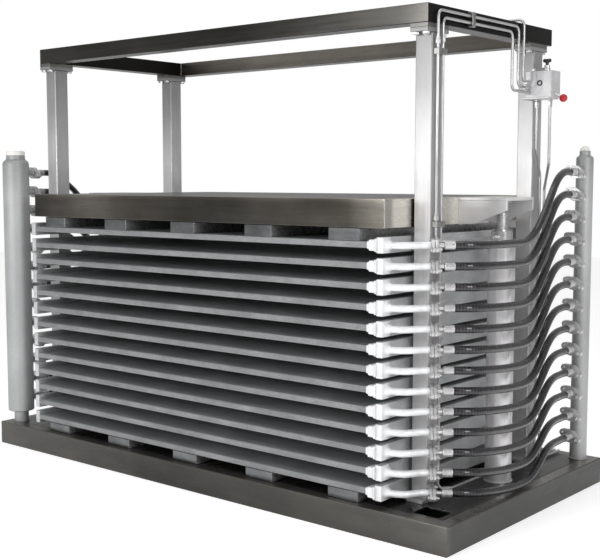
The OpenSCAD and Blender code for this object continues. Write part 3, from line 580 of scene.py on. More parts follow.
def jointShape(neck, ferrule, tilt, size=1.0):
    # Flange pair with its bolts, a bare neck and a crimped sleeve; +Z runs into the hose.
    part = bmesh.new()
    thick, bolt, spigot, hub, sleeve = (joint[key] for key in ("thick", "bolt", "spigot", "hub", "sleeve"))
    lean = Matrix.Rotation(math.radians(tilt), 4, "Z")
    for low in (-thick + 0.0002, 0.0006):
        put(part, slab(jointOutline(size), thick - 0.0008, 0.0016), lean @ Matrix.Translation((0, 0, low)))
    put(part, turned([(0, -thick / 2), (spigot, -thick / 2), (spigot, thick / 2), (0, thick / 2)], 20))
    for side in (-1, 1):
        place = lean @ Matrix.Translation((0, side * size * joint["boltGap"], 0))
        put(part, hexagon(1.85 * bolt, 1.3 * bolt), place @ Matrix.Translation((0, 0, -thick - 1.3 * bolt)))
        put(part, hexagon(1.85 * bolt, 1.4 * bolt), place @ Matrix.Translation((0, 0, thick + 0.0004)))
        put(part, turned([(0, thick), (bolt, thick), (bolt, thick + 2.6 * bolt),
                          (0.8 * bolt, thick + 2.9 * bolt), (0, thick + 2.9 * bolt)], 10), place)
    start, end = thick + neck, thick + neck + ferrule
    profile = [(0, thick - 0.002), (hub, thick - 0.002), (hub, thick + 0.003), (joint["neck"], thick + 0.007),
               (joint["neck"] - 0.001, start - 0.002), (sleeve - 0.003, start - 0.0005),
               (sleeve - 0.001, start + 0.0015)]
    run = (ferrule - 0.009) / joint["crimps"]
    for k in range(joint["crimps"]):
        z = start + 0.004 + k * run
        profile += [(sleeve, z), (sleeve, z + run * 0.62), (sleeve - 0.0011, z + run * 0.72),
                    (sleeve - 0.0011, z + run * 0.9)]
    profile += [(sleeve, end - 0.003), (sleeve - 0.0007, end - 0.0002), (0, end - 0.0002)]
    put(part, turned(profile, 24))
    put(part, bead(circlePath(0.0155, -thick - 0.001, 20), 0.0022, 5))
    return asMesh(part)


plate = {
    "planks": 8, "groove": 0.0012, "round": 0.004, "blockLength": 0.032, "blockHeight": 0.043,
    "blockDepth": 0.06, "proud": 0.01, "root": (0.014, 0.05, 0.0155), "tube": 0.014, "tubeIn": 0.035,
    "tubeBend": 0.06, "angles": (39, 60), "joints": ((0.139, 0.142), (0.143, 0.132)), "tilt": 27,
    "lug": (0.026, 0.084, 0.012), "lugs": (-0.265, 0.273), "linkGap": 0.02, "linkX": 0.016, "link": 0.005,
    "slack": 0.045,
}


def panelShape():
    # Planks side by side, with a fine groove at each joint and round long edges.
    half, edge, groove, curve = stack["thick"] / 2, stack["width"] / 2, plate["groove"], plate["round"]
    step = stack["width"] / plate["planks"]
    joins = [-edge + step * k for k in range(1, plate["planks"])]
    top = [(-edge + curve, half)]
    for y in joins:
        top += [(y - groove, half), (y, half - groove), (y + groove, half)]
    top += [(edge - curve, half), (edge - curve / 4, half - curve / 4), (edge, half - curve)]
    back = [(edge, -half + curve), (edge - curve / 4, -half + curve / 4), (edge - curve, -half)]
    bottom = []
    for y in reversed(joins):
        bottom += [(y + groove, -half), (y, -half + groove), (y - groove, -half)]
    front = [(-edge + curve, -half), (-edge + curve / 4, -half + curve / 4), (-edge, -half + curve),
             (-edge, half - curve), (-edge + curve / 4, half - curve / 4)]
    length = stack["length"] - 2 * stack["barThick"]
    part = slab(top + back + bottom + front, length)
    part.transform(Matrix(((0, 0, 1, -length / 2), (1, 0, 0, 0), (0, 1, 0, 0), (0, 0, 0, 1))))
    bmesh.ops.recalc_face_normals(part, faces=part.faces)
    for face in part.faces:  # the long edges have a finish of their own
        if abs(face.normal.y) > 0.6:
            face.material_index = 1
    return asMesh(part)


def barShape():
    # End bar with its two long welds, at the right end.
    part = bmesh.new()
    x, high = stack["length"] / 2, stack["barHeight"] / 2
    weldX, weldEnd = x - stack["barThick"], backY - plate["blockDepth"]
    put(part, block((weldX, frontY, -high), (x, backY, high), 0.0025))
    for z in (-stack["thick"] / 2, stack["thick"] / 2):
        put(part, bead(straight((weldX, -weldEnd, z), (weldX, weldEnd, z), 0.007), 0.003, 5))
    return asMesh(part)


def lugShape():
    part = bmesh.new()
    long, wide, high = plate["lug"]
    put(part, block((0, -wide / 2, -high / 2), (long, wide / 2, high / 2), 0.0025))
    for z in (-high / 2, high / 2):
        put(part, bead(straight((0.001, -wide / 2, z), (0.001, wide / 2, z)), 0.0025, 5))
    return asMesh(part)


def linkShape():
    # Bolt that hangs from a lug and picks up the plate below.
    part = bmesh.new()
    radius, high = plate["link"], plate["lug"][2] / 2
    low = -stack["platePitch"] - plate["slack"] - high
    put(part, hexagon(0.009, 0.007), Matrix.Translation((0, 0, high + 0.0003)))
    put(part, turned([(0, high + 0.011), (radius - 0.001, high + 0.011), (radius, high + 0.01),
                      (radius, low - 0.009), (radius - 0.001, low - 0.01), (0, low - 0.01)], 12))
    put(part, hexagon(0.009, 0.008), Matrix.Translation((0, 0, low - 0.0085)))
    return asMesh(part)


def cornerShape(end):
    # Corner block, root collar and tube, at the right front corner of a plate.
    part = bmesh.new()
    x = stack["length"] / 2
    bar, long, high = stack["barThick"], plate["blockLength"], plate["blockHeight"] / 2
    low = (x - bar - long, frontY - plate["proud"], -high)
    top = (x - bar + 0.002, frontY - plate["proud"] + plate["blockDepth"], high)
    put(part, block(low, top, 0.005, 3))
    rootLong, rootDeep, rootHigh = plate["root"]
    put(part, block((low[0] - rootLong, frontY - 0.004, -rootHigh),
                    (low[0] + 0.004, frontY + rootDeep, rootHigh), 0.005, 3))
    turns = [(x - bar, y, z) for y, z in ((top[1], high), (low[1], high), (low[1], -high), (top[1], -high))]
    for a, b in zip(turns, turns[1:]):
        put(part, bead(straight(a, b), 0.004))
    for y in (frontY + 0.004, frontY + rootDeep):
        put(part, bead(straight((low[0], y, -rootHigh), (low[0], y, rootHigh)), 0.003))
    barHigh = stack["barHeight"] / 2 - 0.0005
    put(part, block((x - bar - 0.0008, frontY - 0.0015, -barHigh),
                    (x + 0.0008, frontY + rootDeep, barHigh), 0.003, 3))
    jx, jy = plate["joints"][end]
    angle = math.radians(plate["angles"][end])
    way = Vector((math.cos(angle), math.sin(angle), 0))
    stop = Vector((jx, jy, 0)) - way * joint["thick"]
    tubeIn = plate["tubeIn"]
    route = [(0, tubeIn, 0), (0.024, tubeIn + 0.001, 0), (jx * 0.5, jy * 0.35, 0), stop - way * 0.03, stop]
    path = flowing(bent(route, plate["tubeBend"], 6), 2)
    put(part, sweep(path, plate["tube"], 18), Matrix.Translation((x, frontY, 0)))
    collar = turned([(0, 0), (0.022, 0), (0.0215, 0.004), (0.0175, 0.012), (0.0145, 0.02), (0, 0.02)], 24)
    root = Matrix.Translation((x, frontY + tubeIn, 0)) @ Matrix.Rotation(math.radians(90), 4, "Y")
    put(part, collar, root)
    put(part, bead(circlePath(0.0225, 0.001), 0.003), root)
    return asMesh(part)


def addPlates():
    panel, bar, lug, link = panelShape(), barShape(), lugShape(), linkShape()
    blocks = [cornerShape(0), cornerShape(1)]
    flanges = jointShape(0.026, 0.04, plate["tilt"])
    for i in range(1, stack["count"] + 1):
        level = Matrix.Translation((stack["middle"], 0, plateHeight(i)))
        node, body = f"plate_{i:02d}", bodyOf(i)
        panels, bars, welded, steel = bmesh.new(), bmesh.new(), bmesh.new(), bmesh.new()
        stamp(panels, panel, level)
        for end in (0, 1):
            turn = level @ Matrix.Rotation(math.pi * end, 4, "Z")
            stamp(bars, bar, turn)
            stamp(welded, blocks[end], turn)
            jx, jy = plate["joints"][end]
            place = turn @ Matrix.Translation((stack["length"] / 2 + jx, frontY + jy, 0))
            place = place @ Matrix.Rotation(math.radians(plate["angles"][end]), 4, "Z")
            stamp(steel, flanges, place @ Matrix.Rotation(math.radians(90), 4, "Y"))
            for y in plate["lugs"]:
                outer = turn @ Matrix.Translation((stack["length"] / 2, -y if end else y, 0))
                stamp(bars, lug, outer)
                if i > 2:
                    gap = plate["linkGap"] if i % 2 == 0 else -plate["linkGap"]
                    stamp(steel, link, outer @ Matrix.Translation((plate["linkX"], gap, 0)))
        finished(f"{node}_panel", panels, ["plate", "plateEdge"], body, [node], 25)
        finished(f"{node}_end_bars", bars, "bar", body, [node])
        finished(f"{node}_corners", welded, "weld", body, [node])
        finished(f"{node}_flanges", steel, "bright", body, [node])


addPlates()
print("plates made")


header = {
    "right": {"place": (1.2915, 0.585), "radius": 0.038, "neck": 0.024, "foot": 0.0, "footHeight": 0.0,
              "low": 0.1143, "high": 1.4823, "stub": 0.035, "turn": 180, "tilt": 66},
    "left": {"place": (-1.3025, -0.575), "radius": 0.0665, "neck": 0.0475, "foot": 0.037, "footHeight": 0.058,
             "low": 0.1143, "high": 1.4783, "stub": 0.031, "turn": 0, "tilt": -66},
    "neckHeight": 0.022, "stubRadius": 0.014, "flangeSize": 1.15,
}


def addHeader(side):
    size = header[side]
    x, y = size["place"]
    radius, low, high, neck = size["radius"], size["low"], size["high"], size["neck"]
    place = Matrix.Translation((x, y, 0))
    part = bmesh.new()
    start = low + size["footHeight"]
    shoulder = radius * 0.35
    profile = [(0, start), (radius - 0.005, start), (radius - 0.0015, start + 0.002), (radius, start + 0.005),
               (radius, high - shoulder)]
    for k in range(1, 8):  # drawn shoulder
        angle = math.radians(90 * k / 7)
        inward, upward = shoulder * (1 - math.cos(angle)), shoulder * math.sin(angle)
        profile.append((radius - inward, high - shoulder + upward))
    top = high + header["neckHeight"]
    profile += [(neck, high + 0.001), (neck, top - 0.0015), (neck - 0.0015, top), (neck - 0.005, top),
                (neck - 0.006, top - 0.012), (0, top - 0.012)]
    put(part, turned(profile, 56), place)
    put(part, bead(circlePath(neck + 0.001, high + 0.001, 40), 0.0022), place)
    if size["foot"]:
        foot = size["foot"]
        put(part, turned([(0, low), (foot, low), (foot, start + 0.002), (0, start + 0.002)], 40), place)
        put(part, bead(circlePath(foot + 0.001, low + 0.002, 60), 0.003), place)
        put(part, bead(circlePath(foot + 0.001, start - 0.001, 60), 0.003), place)
    else:
        put(part, bead(circlePath(radius + 0.001, low + 0.002, 60), 0.003), place)
    steel = bmesh.new()
    flanges = jointShape(0.012, 0.036, size["tilt"], header["flangeSize"])
    for i in range(1, stack["count"] + 1):
        port = Matrix.Translation((x, y, portHeight(i))) @ Matrix.Rotation(math.radians(size["turn"]), 4, "Z")
        port = port @ Matrix.Rotation(math.radians(-90), 4, "X")
        stub, reach = header["stubRadius"], radius + size["stub"]
        put(part, turned([(0, radius * 0.6), (stub, radius * 0.6), (stub, reach), (0, reach)], 20), port)
        put(part, bead(circlePath(stub + 0.001, radius * 0.985, 20), 0.0026, 5), port)
        stamp(steel, flanges, port @ Matrix.Translation((0, 0, reach + joint["thick"] + 0.0003)))
    finished(f"header_pipe_{side}", part, "pipe", "frame", [f"header_{side}"])
    finished(f"header_joints_{side}", steel, "bright", "frame", [f"header_flanges_{side}"])


def addCaps():
    left, right = header["left"], header["right"]
    z = left["high"] + header["neckHeight"] + 0.0006
    cap = turned([(0, z), (0.047, z), (0.047, z + 0.0165), (0.0455, z + 0.0195), (0.042, z + 0.0205),
                  (0.0405, z + 0.0235), (0, z + 0.0238)], 48)
    bmesh.ops.translate(cap, vec=(*left["place"], 0), verts=cap.verts)
    finished("cap_left", cap, "cap", "frame", ["header_cap_left"])
    z = right["high"] + header["neckHeight"] + 0.0006
    part = bmesh.new()
    put(part, hexagon(0.023, 0.008, 0.0012), Matrix.Translation((*right["place"], z)))
    put(part, turned([(0, z + 0.0078), (0.0205, z + 0.0078), (0.0198, z + 0.011), (0.0145, z + 0.0165),
                      (0.0075, z + 0.0205), (0.004, z + 0.0218), (0, z + 0.022)], 32),
        Matrix.Translation((*right["place"], 0)))
    finished("cap_right", part, "cap", "frame", ["header_cap_right"])


addHeader("right")
addHeader("left")
addCaps()
print("headers made")


def addRibs(part, low, high, count, wide, edge, segments):
    # Even bars from front to back, across the space inside a frame.
    bay = (high.x - low.x - count * wide) / (count + 1)
    for k in range(count):
        x = low.x + bay + k * (bay + wide)
        put(part, block((x, low.y, low.z), (x + wide, high.y, high.z), edge, segments))


base = {"rim": 0.06, "edge": 0.004, "deck": 0.006, "joists": 9, "joistWidth": 0.04}
pocket = {"x": (1.17, 1.29), "y": (-0.579, -0.483), "floor": 0.074, "wall": 0.003, "edge": 0.0005}
finishes["pan"] = metalFinish("pan_sheet", (0.03, 0.045, 0.036), (0.06, 0.08, 0.066), (40, 40, 40), (9, 9, 9),
                              rough=(0.2, 0.35), bump=0.05)


def addBase():
    low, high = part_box("base_frame")
    part = ring(low, high, base["rim"], base["edge"])
    finished("base_skirt", part, ["dark", "darkEnd"], "frame", ["base_frame"])
    top = high.z - base["deck"] - fitGap
    inset = Vector((base["rim"], base["rim"] + fitGap, 0))
    end = high - inset
    end.z = top
    inner = bmesh.new()
    addRibs(inner, low + inset, end, base["joists"], base["joistWidth"], 0.003, 2)
    finished("base_joists", inner, "deck", "frame", ["base_frame"])
    pan = bmesh.new()
    wall, floor, edge = pocket["wall"], pocket["floor"], pocket["edge"]
    (left, right), (front, back) = pocket["x"], pocket["y"]
    sheets = [((left - wall, front - wall, floor - wall), (right + wall, back + wall, floor)),
              ((left - wall, front - wall, floor), (left, back + wall, top)),
              ((left, front - wall, floor), (right, front, top)),
              ((right, front - wall, floor), (right + wall, back + wall, top)),
              ((left, back, floor), (right, back + wall, top))]
    for start, end in sheets:
        put(pan, block(start, end, edge, 1))
    finished("sump_pan", pan, "pan", "frame", ["base_frame"])


addBase()

column = {"halfX": 0.0375, "halfY": 0.04, "corner": 0.005, "foot": 0.012, "flange": 0.016, "edge": 0.0012,
          "weld": 0.0028}
topFrame = {"height": 0.072, "width": 0.08, "edge": 0.003, "plate": 0.016}
topLow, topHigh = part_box("top_frame")
# Its dark colour stands in for the reflection of a dark room, and the ramp along X paints reflections,
# brightest at the right end.
finishes["topFront"] = metalFinish(
    "top_front_stainless", (0.075, 0.073, 0.068), (0.135, 0.13, 0.12), (2, 30, 60), (1.8, 2, 4),
    rough=(0.24, 0.36), bump=0.03, streak=0.1,
    paintedLightRamps=[("X", -1.25, 1.15, [(0, 0.85), (0.3, 0.65), (0.6, 0.5), (0.85, 1.05), (0.95, 1.4), (1, 2.0)])])
# The back member's inner face takes this lighter copy, painted light, with painted reflections along X.
finishes["topBack"] = metalFinish(
    "top_back_painted_light", (0.13, 0.12, 0.105), (0.2, 0.185, 0.165), (2, 30, 60), (1.8, 2, 4),
    rough=(0.24, 0.36), bump=0.03, streak=0.1,
    paintedLightRamps=[("X", -1.25, 1.15, [(0, 1.2), (0.3, 1.9), (0.6, 1.5), (0.85, 0.6), (1, 0.3)])])
finishes["flangePlate"] = metalFinish("flange_plate", (0.2, 0.2, 0.19), (0.3, 0.29, 0.28), (60, 60, 60),
                                      (8, 8, 8), rough=(0.28, 0.42), bump=0.08)


def addTopFrame():
    under = topHigh.z - topFrame["height"]
    part = ring((topLow.x, topLow.y, under), topHigh, topFrame["width"], topFrame["edge"])
    # Undersides take painted shade, like the ends that look along X; the back member's inner face takes the
    # copy with painted light.
    for face in part.faces:
        if face.normal.z < -0.7:  # shaded undersides
            face.material_index = 1
        elif face.normal.y < -0.7 and face.calc_center_median().y > 0:  # back member, seen through the frame
            face.material_index = 2
    finished("top_ring", part, ["topFront", "black", "topBack"], "frame", ["top_frame"])
    plates = bmesh.new()
    for corner in corners:
        low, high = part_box(f"column_{corner}")
        put(plates, block((low.x, low.y, under - topFrame["plate"]), (high.x, high.y, under - fitGap),
                          column["edge"]))
    finished("top_flange_plates", plates, "flangePlate", "frame", ["top_frame"])


addTopFrame()


def addColumn(corner):
    low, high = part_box(f"column_{corner}")
    x, y = (low.x + high.x) / 2, (low.y + high.y) / 2
    halfX, halfY, edge = column["halfX"], column["halfY"], column["edge"]
    foot, head = low.z + column["foot"], high.z - column["flange"]
    part = bmesh.new()
    put(part, block((x - halfX, y - halfY, low.z), (x + halfX, y + halfY, head), column["corner"], 4))
    put(part, block((x - halfX, low.y, low.z), (x + halfX, high.y, foot), edge))
    # The sides that look along X take the darker copy, painted shade.
    paintLightOnSides(part)
    put(part, block((low.x, low.y, head), high, edge))
    reach, stand = halfX - 0.0005, 0.001
    for weldY in (y - halfY - stand, y + halfY + stand):
        for z in (head - stand, foot + stand):
            path = straight((x - reach, weldY, z), (x + reach, weldY, z), 0.005)
            put(part, bead(path, column["weld"], 5))
    finished(f"column_tube_{corner}", part, ["column", "columnSide"], "frame", [f"column_{corner}"],
             30)


for corner in corners:
    addColumn(corner)

press = {"member": 0.06, "edge": 0.004, "sheet": 0.006, "ribs": 7, "ribWidth": 0.02}
# Its dark colour stands in for the reflection of a dark room; ramps paint reflections along X, brightest at
# the right end, and a painted highlight on the top rim.
finishes["pressFront"] = metalFinish(
    "press_front_stainless", (0.075, 0.068, 0.058), (0.17, 0.16, 0.14), (2, 20, 40), (2.2, 2, 3),
    metallic=0.9, rough=(0.2, 0.3), bump=0.02, streak=0.08,
    paintedLightRamps=[("X", -1.09, 1.06, [(0, 0.5), (0.08, 0.9), (0.25, 1.2), (0.5, 0.42), (0.75, 0.7), (0.92, 1.1),
                                (1, 3.2)]),
            ("Z", 1.193, 1.305, [(0, 0.85), (0.85, 1.0), (0.97, 1.5), (1, 2.4)])])
# The press ends, looking along X, take this bright copy, painted light, with a painted highlight at the front
# edge and dark bands of painted shade near the front.
finishes["pressEnd"] = metalFinish(
    "press_end_painted_light", (0.62, 0.59, 0.54), (0.82, 0.79, 0.72), (40, 2, 20), (3, 2.6, 5),
    metallic=0.6, rough=(0.2, 0.32), bump=0.02, streak=0.06,
    paintedLightRamps=[("Y", -0.62, 0.62, [(0, 1.3), (0.008, 0.5), (0.035, 0.55), (0.055, 1.1), (0.14, 1.2), (0.15, 0.1),
                                (0.19, 0.06), (0.24, 0.7), (0.36, 0.8), (0.4, 1.2), (1, 1.0)])])


def addPress():
    low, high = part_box("press_frame")
    member, sheet = press["member"], press["sheet"]
    part = ring(low, high, member, press["edge"])
    finished("press_ring", part, ["pressFront", "pressEnd"], "press", ["press_frame"])
    inner = bmesh.new()
    inset = member + fitGap
    put(inner, block((low.x + inset, low.y + inset, high.z - sheet), (high.x - inset, high.y - inset, high.z),
                     0.001, 1))
    start = low + Vector((member, inset, 0))
    end = high - Vector((member, inset, sheet + fitGap))
    addRibs(inner, start, end, press["ribs"], press["ribWidth"], 0.001, 1)
    finished("press_sheets", inner, "deck", "press", ["press_frame"])


addPress()
print("base, columns, press and top frame made")


def edged(name, finish, width=0.0015):
    # A node whose own shape is right keeps it, with soft edges and a finish.
    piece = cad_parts[name]
    piece.data.materials.clear()
    piece.data.materials.append(finishes[finish])
    weld = piece.modifiers.new("weld", "WELD")
    weld.merge_threshold = 0.00002
    bevel = piece.modifiers.new("edges", "BEVEL")
    bevel.width = width
    bevel.segments = 2
    bevel.limit_method = "ANGLE"
    bevel.angle_limit = math.radians(40)


edged("deck_plate", "deck", 0.001)
edged("lift_bracket_left", "bracket")
edged("lift_bracket_right", "bracket")
edged("bracket_bolts", "bright", 0.0008)
edged("column_bolts", "bright", 0.0008)
edged("tube_clamps", "clamp")
edged("valve_bracket", "bright")

crossBeam = {"count": 5, "pitch": 0.448, "width": 0.15}
finishes["cross"] = metalFinish("cross_beam_stainless", (0.12, 0.124, 0.126), (0.22, 0.226, 0.23),
                                (6, 30, 30), (7, 2, 12), rough=(0.22, 0.34), bump=0.03, streak=0.1)
finishes["crossSide"] = metalFinish("cross_beam_painted_light", (0.4, 0.4, 0.4), (0.55, 0.55, 0.55), (6, 30, 30),
                                    (7, 2, 12), metallic=0.7, rough=(0.22, 0.34), bump=0.03, streak=0.1)


def addCrossBeams(name, node, body):
    # Beams across; their faces that look along X take a brighter copy of the finish, painted light.
    low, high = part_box(node)
    half = crossBeam["width"] / 2
    part = bmesh.new()
    for k in range(crossBeam["count"]):
        x = stack["middle"] + (k - (crossBeam["count"] - 1) / 2) * crossBeam["pitch"]
        put(part, block((x - half, low.y, low.z), (x + half, high.y, high.z), 0.003, 3))
    paintLightOnSides(part)
    finished(name, part, ["cross", "crossSide"], body, [node])


addCrossBeams("cross_beams_bottom", "bottom_cross_beams", "frame")
addCrossBeams("cross_beams_press", "press_cross_beams", "press")
print("cross beams, brackets and bolts made")

cylinder = {"y": 0.025, "gap": 0.143, "barrel": 0.056, "bore": 0.0455, "low": 0.1143, "gland": 1.116,
            "glandHeight": 0.05, "guide": 0.074, "guideRadius": 0.024, "head": 0.044, "rod": 0.02,
            "piston": (0.045, 0.136, 0.166), "rodFlange": (0.04, 1.283, 0.0095), "port": 0.013,
            "portLow": 0.16, "portHigh": 1.141}


def addPort(part, place, z, start, reach):
    # A tube port that looks to the front.
    radius = cylinder["port"]
    port = place @ Matrix.Translation((0, 0, z)) @ Matrix.Rotation(math.radians(90), 4, "X")
    put(part, turned([(0, start), (radius, start), (radius, reach - 0.001), (radius - 0.001, reach),
                      (0, reach)], 24), port)
    return port


def addCylinder(side, x):
    place = Matrix.Translation((x, cylinder["y"], 0))
    low, top, barrel, bore = (cylinder[key] for key in ("low", "gland", "barrel", "bore"))
    part = bmesh.new()
    put(part, turned([(0, low), (barrel - 0.001, low), (barrel, low + 0.001), (barrel, top - 0.003),
                      (barrel - 0.003, top), (bore, top), (bore - 0.0003, top - 0.03), (0, top - 0.03)], 64),
        place)
    put(part, bead(circlePath(barrel + 0.001, low + 0.002, 70), 0.0035), place)
    port = addPort(part, place, cylinder["portLow"], 0.04, 0.068)
    put(part, bead(circlePath(cylinder["port"] + 0.001, barrel - 0.0005, 20), 0.0022, 5), port)
    finished(f"barrel_{side}", part, "barrel", "frame", [f"cylinder_barrel_{side}"])
    gland = bmesh.new()
    head, guide, rod = cylinder["head"], cylinder["guideRadius"], cylinder["rod"]
    glandTop = top + cylinder["glandHeight"]
    guideTop = glandTop + cylinder["guide"]
    put(gland, turned([(0, top + 0.0005), (head - 0.001, top + 0.0005), (head, top + 0.0015),
                       (head, top + 0.018), (head - 0.0015, top + 0.0195), (head - 0.0015, top + 0.0215),
                       (head, top + 0.023), (head, glandTop - 0.002), (head - 0.002, glandTop),
                       (guide + 0.006, glandTop), (guide + 0.0045, glandTop + 0.006),
                       (guide, glandTop + 0.007), (guide, guideTop - 0.002), (guide - 0.0015, guideTop),
                       (rod + fitGap, guideTop), (rod + fitGap, top + 0.01), (0, top + 0.01)], 48), place)
    addPort(gland, place, cylinder["portHigh"], 0.03, 0.055)
    finished(f"gland_{side}", gland, "bright", "frame", ["cylinder_glands"])
    bar = bmesh.new()
    piston, pistonLow, pistonTop = cylinder["piston"]
    flange, flangeLow, flangeThick = cylinder["rodFlange"]
    flangeTop = flangeLow + flangeThick
    put(bar, turned([(0, pistonLow), (piston - 0.001, pistonLow), (piston, pistonLow + 0.001),
                     (piston, pistonTop - 0.001), (piston - 0.001, pistonTop), (rod, pistonTop),
                     (rod, flangeLow), (flange - 0.001, flangeLow), (flange, flangeLow + 0.001),
                     (flange, flangeTop - 0.001), (flange - 0.001, flangeTop), (0, flangeTop)], 48), place)
    finished(f"rod_{side}", bar, "chrome", "press", [f"piston_rod_{side}"])


addCylinder("left", leftX - cylinder["gap"])
addCylinder("right", rightX + cylinder["gap"])

tube = {
    "radius": 0.006, "bend": 0.026, "sides": 12, "stand": 0.012, "lines": (0.022, 0.048), "over": 0.014,
    "drops": (-0.421, -0.387), "entries": (1.772, 1.752, 1.792), "backs": (0.202, 0.15, 0.247),
    "valveFront": 0.2922, "insideDrop": 0.04, "leftDrop": -0.31, "upperFront": -0.0304, "lowerFront": -0.0433,
    "couplings": ((-0.421, 1.891), (-0.387, 1.899), (-0.421, 1.223)),
}
supply = {"x": (1.175, 1.237), "y": 0.347, "top": 1.7137, "elbow": 1.506, "step": 0.06, "backY": 0.417,
          "backTop": 1.396, "spacing": 0.022, "low": 0.124, "endY": 0.615}


def unionNut(part, place, way, radius=0.0115, long=0.018):
    turn = Vector(way).to_track_quat("Z", "Y").to_matrix().to_4x4()
    for shift, size, run in ((0, radius, long), (long + 0.001, radius * 0.86, long * 0.5)):
        put(part, hexagon(size, run), Matrix.Translation(place) @ turn @ Matrix.Translation((0, 0, shift)))


def addTubes():
    stand, member, leftDrop = tube["stand"], topFrame["width"], tube["leftDrop"]
    x, leftTube = topHigh.x + stand, topLow.x - stand
    insideLeft, insideRight = topLow.x + member + stand, topHigh.x - member - stand
    insideY, insideZ = topLow.y + member + stand, topHigh.z - tube["insideDrop"]
    lines = [topHigh.z - drop for drop in tube["lines"]]
    over = topHigh.z + tube["over"]
    lower, upper = cylinder["portLow"] + fitGap, cylinder["portHigh"] + fitGap
    lowerFront, upperFront = tube["lowerFront"], tube["upperFront"]
    right, left = rightX + cylinder["gap"], leftX - cylinder["gap"]
    start, backs, entries, drops = tube["valveFront"], tube["backs"], tube["entries"], tube["drops"]
    routes = [
        [(x, start, entries[0]), (x, backs[0], entries[0]), (x, backs[0], lines[0]), (x, drops[0], lines[0]),
         (x, drops[0], upper), (right, drops[0] + 0.06, upper), (right, upperFront, upper)],
        [(x, start, entries[1]), (x, backs[1], entries[1]), (x, backs[1], lines[1]), (x, drops[1], lines[1]),
         (x, drops[1], lower), (right, drops[1] + 0.06, lower), (right, lowerFront, lower)],
        [(x, start, entries[2]), (x, backs[2], entries[2]), (x, backs[2], over),
         (insideRight, backs[2], over), (insideRight, backs[2], insideZ), (insideRight, insideY, insideZ),
         (insideLeft, insideY, insideZ), (insideLeft, leftDrop, insideZ), (insideLeft, leftDrop, over),
         (leftTube, leftDrop, over), (leftTube, leftDrop, lower), (left, leftDrop + 0.09, lower),
         (left, lowerFront, lower)]]
    part = bmesh.new()
    for route in routes:
        put(part, sweep(bent(route, tube["bend"]), tube["radius"], tube["sides"]))
    finished("pressure_tubes", part, "tube", "frame", ["cylinder_tubes"])
    part = bmesh.new()
    nuts = bmesh.new()
    for k, supplyX in enumerate(supply["x"]):
        back, drop = x + supply["spacing"] * k, supply["step"] * k
        route = [(supplyX, supply["y"], supply["top"]), (supplyX, supply["y"], supply["elbow"] - drop),
                 (back, supply["backY"], supply["backTop"] - drop), (back, supply["backY"], supply["low"]),
                 (back, supply["endY"], supply["low"])]
        put(part, sweep(bent(route, tube["bend"]), tube["radius"], tube["sides"]))
        unionNut(nuts, (supplyX, supply["y"], supply["top"] - 0.0017), (0, 0, -1), 0.011, 0.016)
    finished("supply_pipes", part, "tube", "frame", ["supply_tubes"])
    for entry in entries:
        unionNut(nuts, (x, start - 0.001, entry), (0, -1, 0))
    for place in ((right, upperFront, upper), (right, lowerFront, lower), (left, lowerFront, lower)):
        unionNut(nuts, place, (0, -1, 0))
    for y, z in tube["couplings"]:
        unionNut(nuts, (x, y, z), (0, 0, 1), 0.0105, 0.016)
    finished("tube_unions", nuts, "bright", "frame", [])


addTubes()

# The plugs are X, Y, radius, height and sides, with no sides for a round one.
valve = {
    "place": (1.207, 0.335, 1.726), "size": (0.122, 0.085, 0.114), "foot": 0.0055,
    "plugs": ((-0.038, -0.01, 0.009, 0.014, 6), (-0.008, 0.014, 0.011, 0.018, 0),
              (0.022, -0.006, 0.014, 0.026, 0)),
    "supplyNut": (0.012, 0.0125), "socket": (0.008, 0.062), "lever": (0.003, -0.006, 0.014), "lean": 118,
    "arm": 0.003, "ball": 0.017, "ballReach": 0.038, "knob": (0.022, -0.006), "knobHeight": 0.044,
}


def addValve():
    long, wide, high = valve["size"]
    place = Matrix.Translation(valve["place"])
    part = bmesh.new()
    put(part, block((-long / 2, -wide / 2, 0), (long / 2, wide / 2, high), 0.003, 3), place)
    put(part, block((-long / 2 - 0.012, -wide / 2 - 0.006, -valve["foot"]),
                    (long / 2 - 0.006, wide / 2, 0.0035), 0.0015), place)
    finished("valve_body", part, "valve", "frame", ["valve_block"])
    plugs = bmesh.new()
    for x, y, radius, rise, sides in valve["plugs"]:
        spot = place @ Matrix.Translation((x, y, high - 0.001))
        if sides:
            put(plugs, hexagon(radius, rise), spot)
        else:
            put(plugs, turned([(0, 0), (radius, 0), (radius, rise * 0.5), (radius * 0.85, rise * 0.55),
                               (radius * 0.85, rise - 0.001), (radius * 0.75, rise), (0, rise)], 24), spot)
    nut, nutHigh = valve["supplyNut"]
    for x in supply["x"]:
        under = (x, valve["place"][1] + 0.012, valve["place"][2] - 0.012)
        put(plugs, hexagon(nut, nutHigh), Matrix.Translation(under))
    finished("valve_plugs", plugs, "bright", "frame", ["valve_block"])
    socketX, socketZ = valve["socket"]
    socket = turned([(0, -0.003), (0.0125, -0.003), (0.0125, 0.0015), (0.011, 0.0025), (0.0075, 0.0025),
                     (0.0065, -0.001), (0, -0.001)], 28)
    spot = place @ Matrix.Translation((socketX, -wide / 2 - 0.0005, socketZ))
    socket.transform(spot @ Matrix.Rotation(math.radians(90), 4, "X"))
    finished("valve_socket", socket, "knobPlastic", "frame", ["valve_block"])


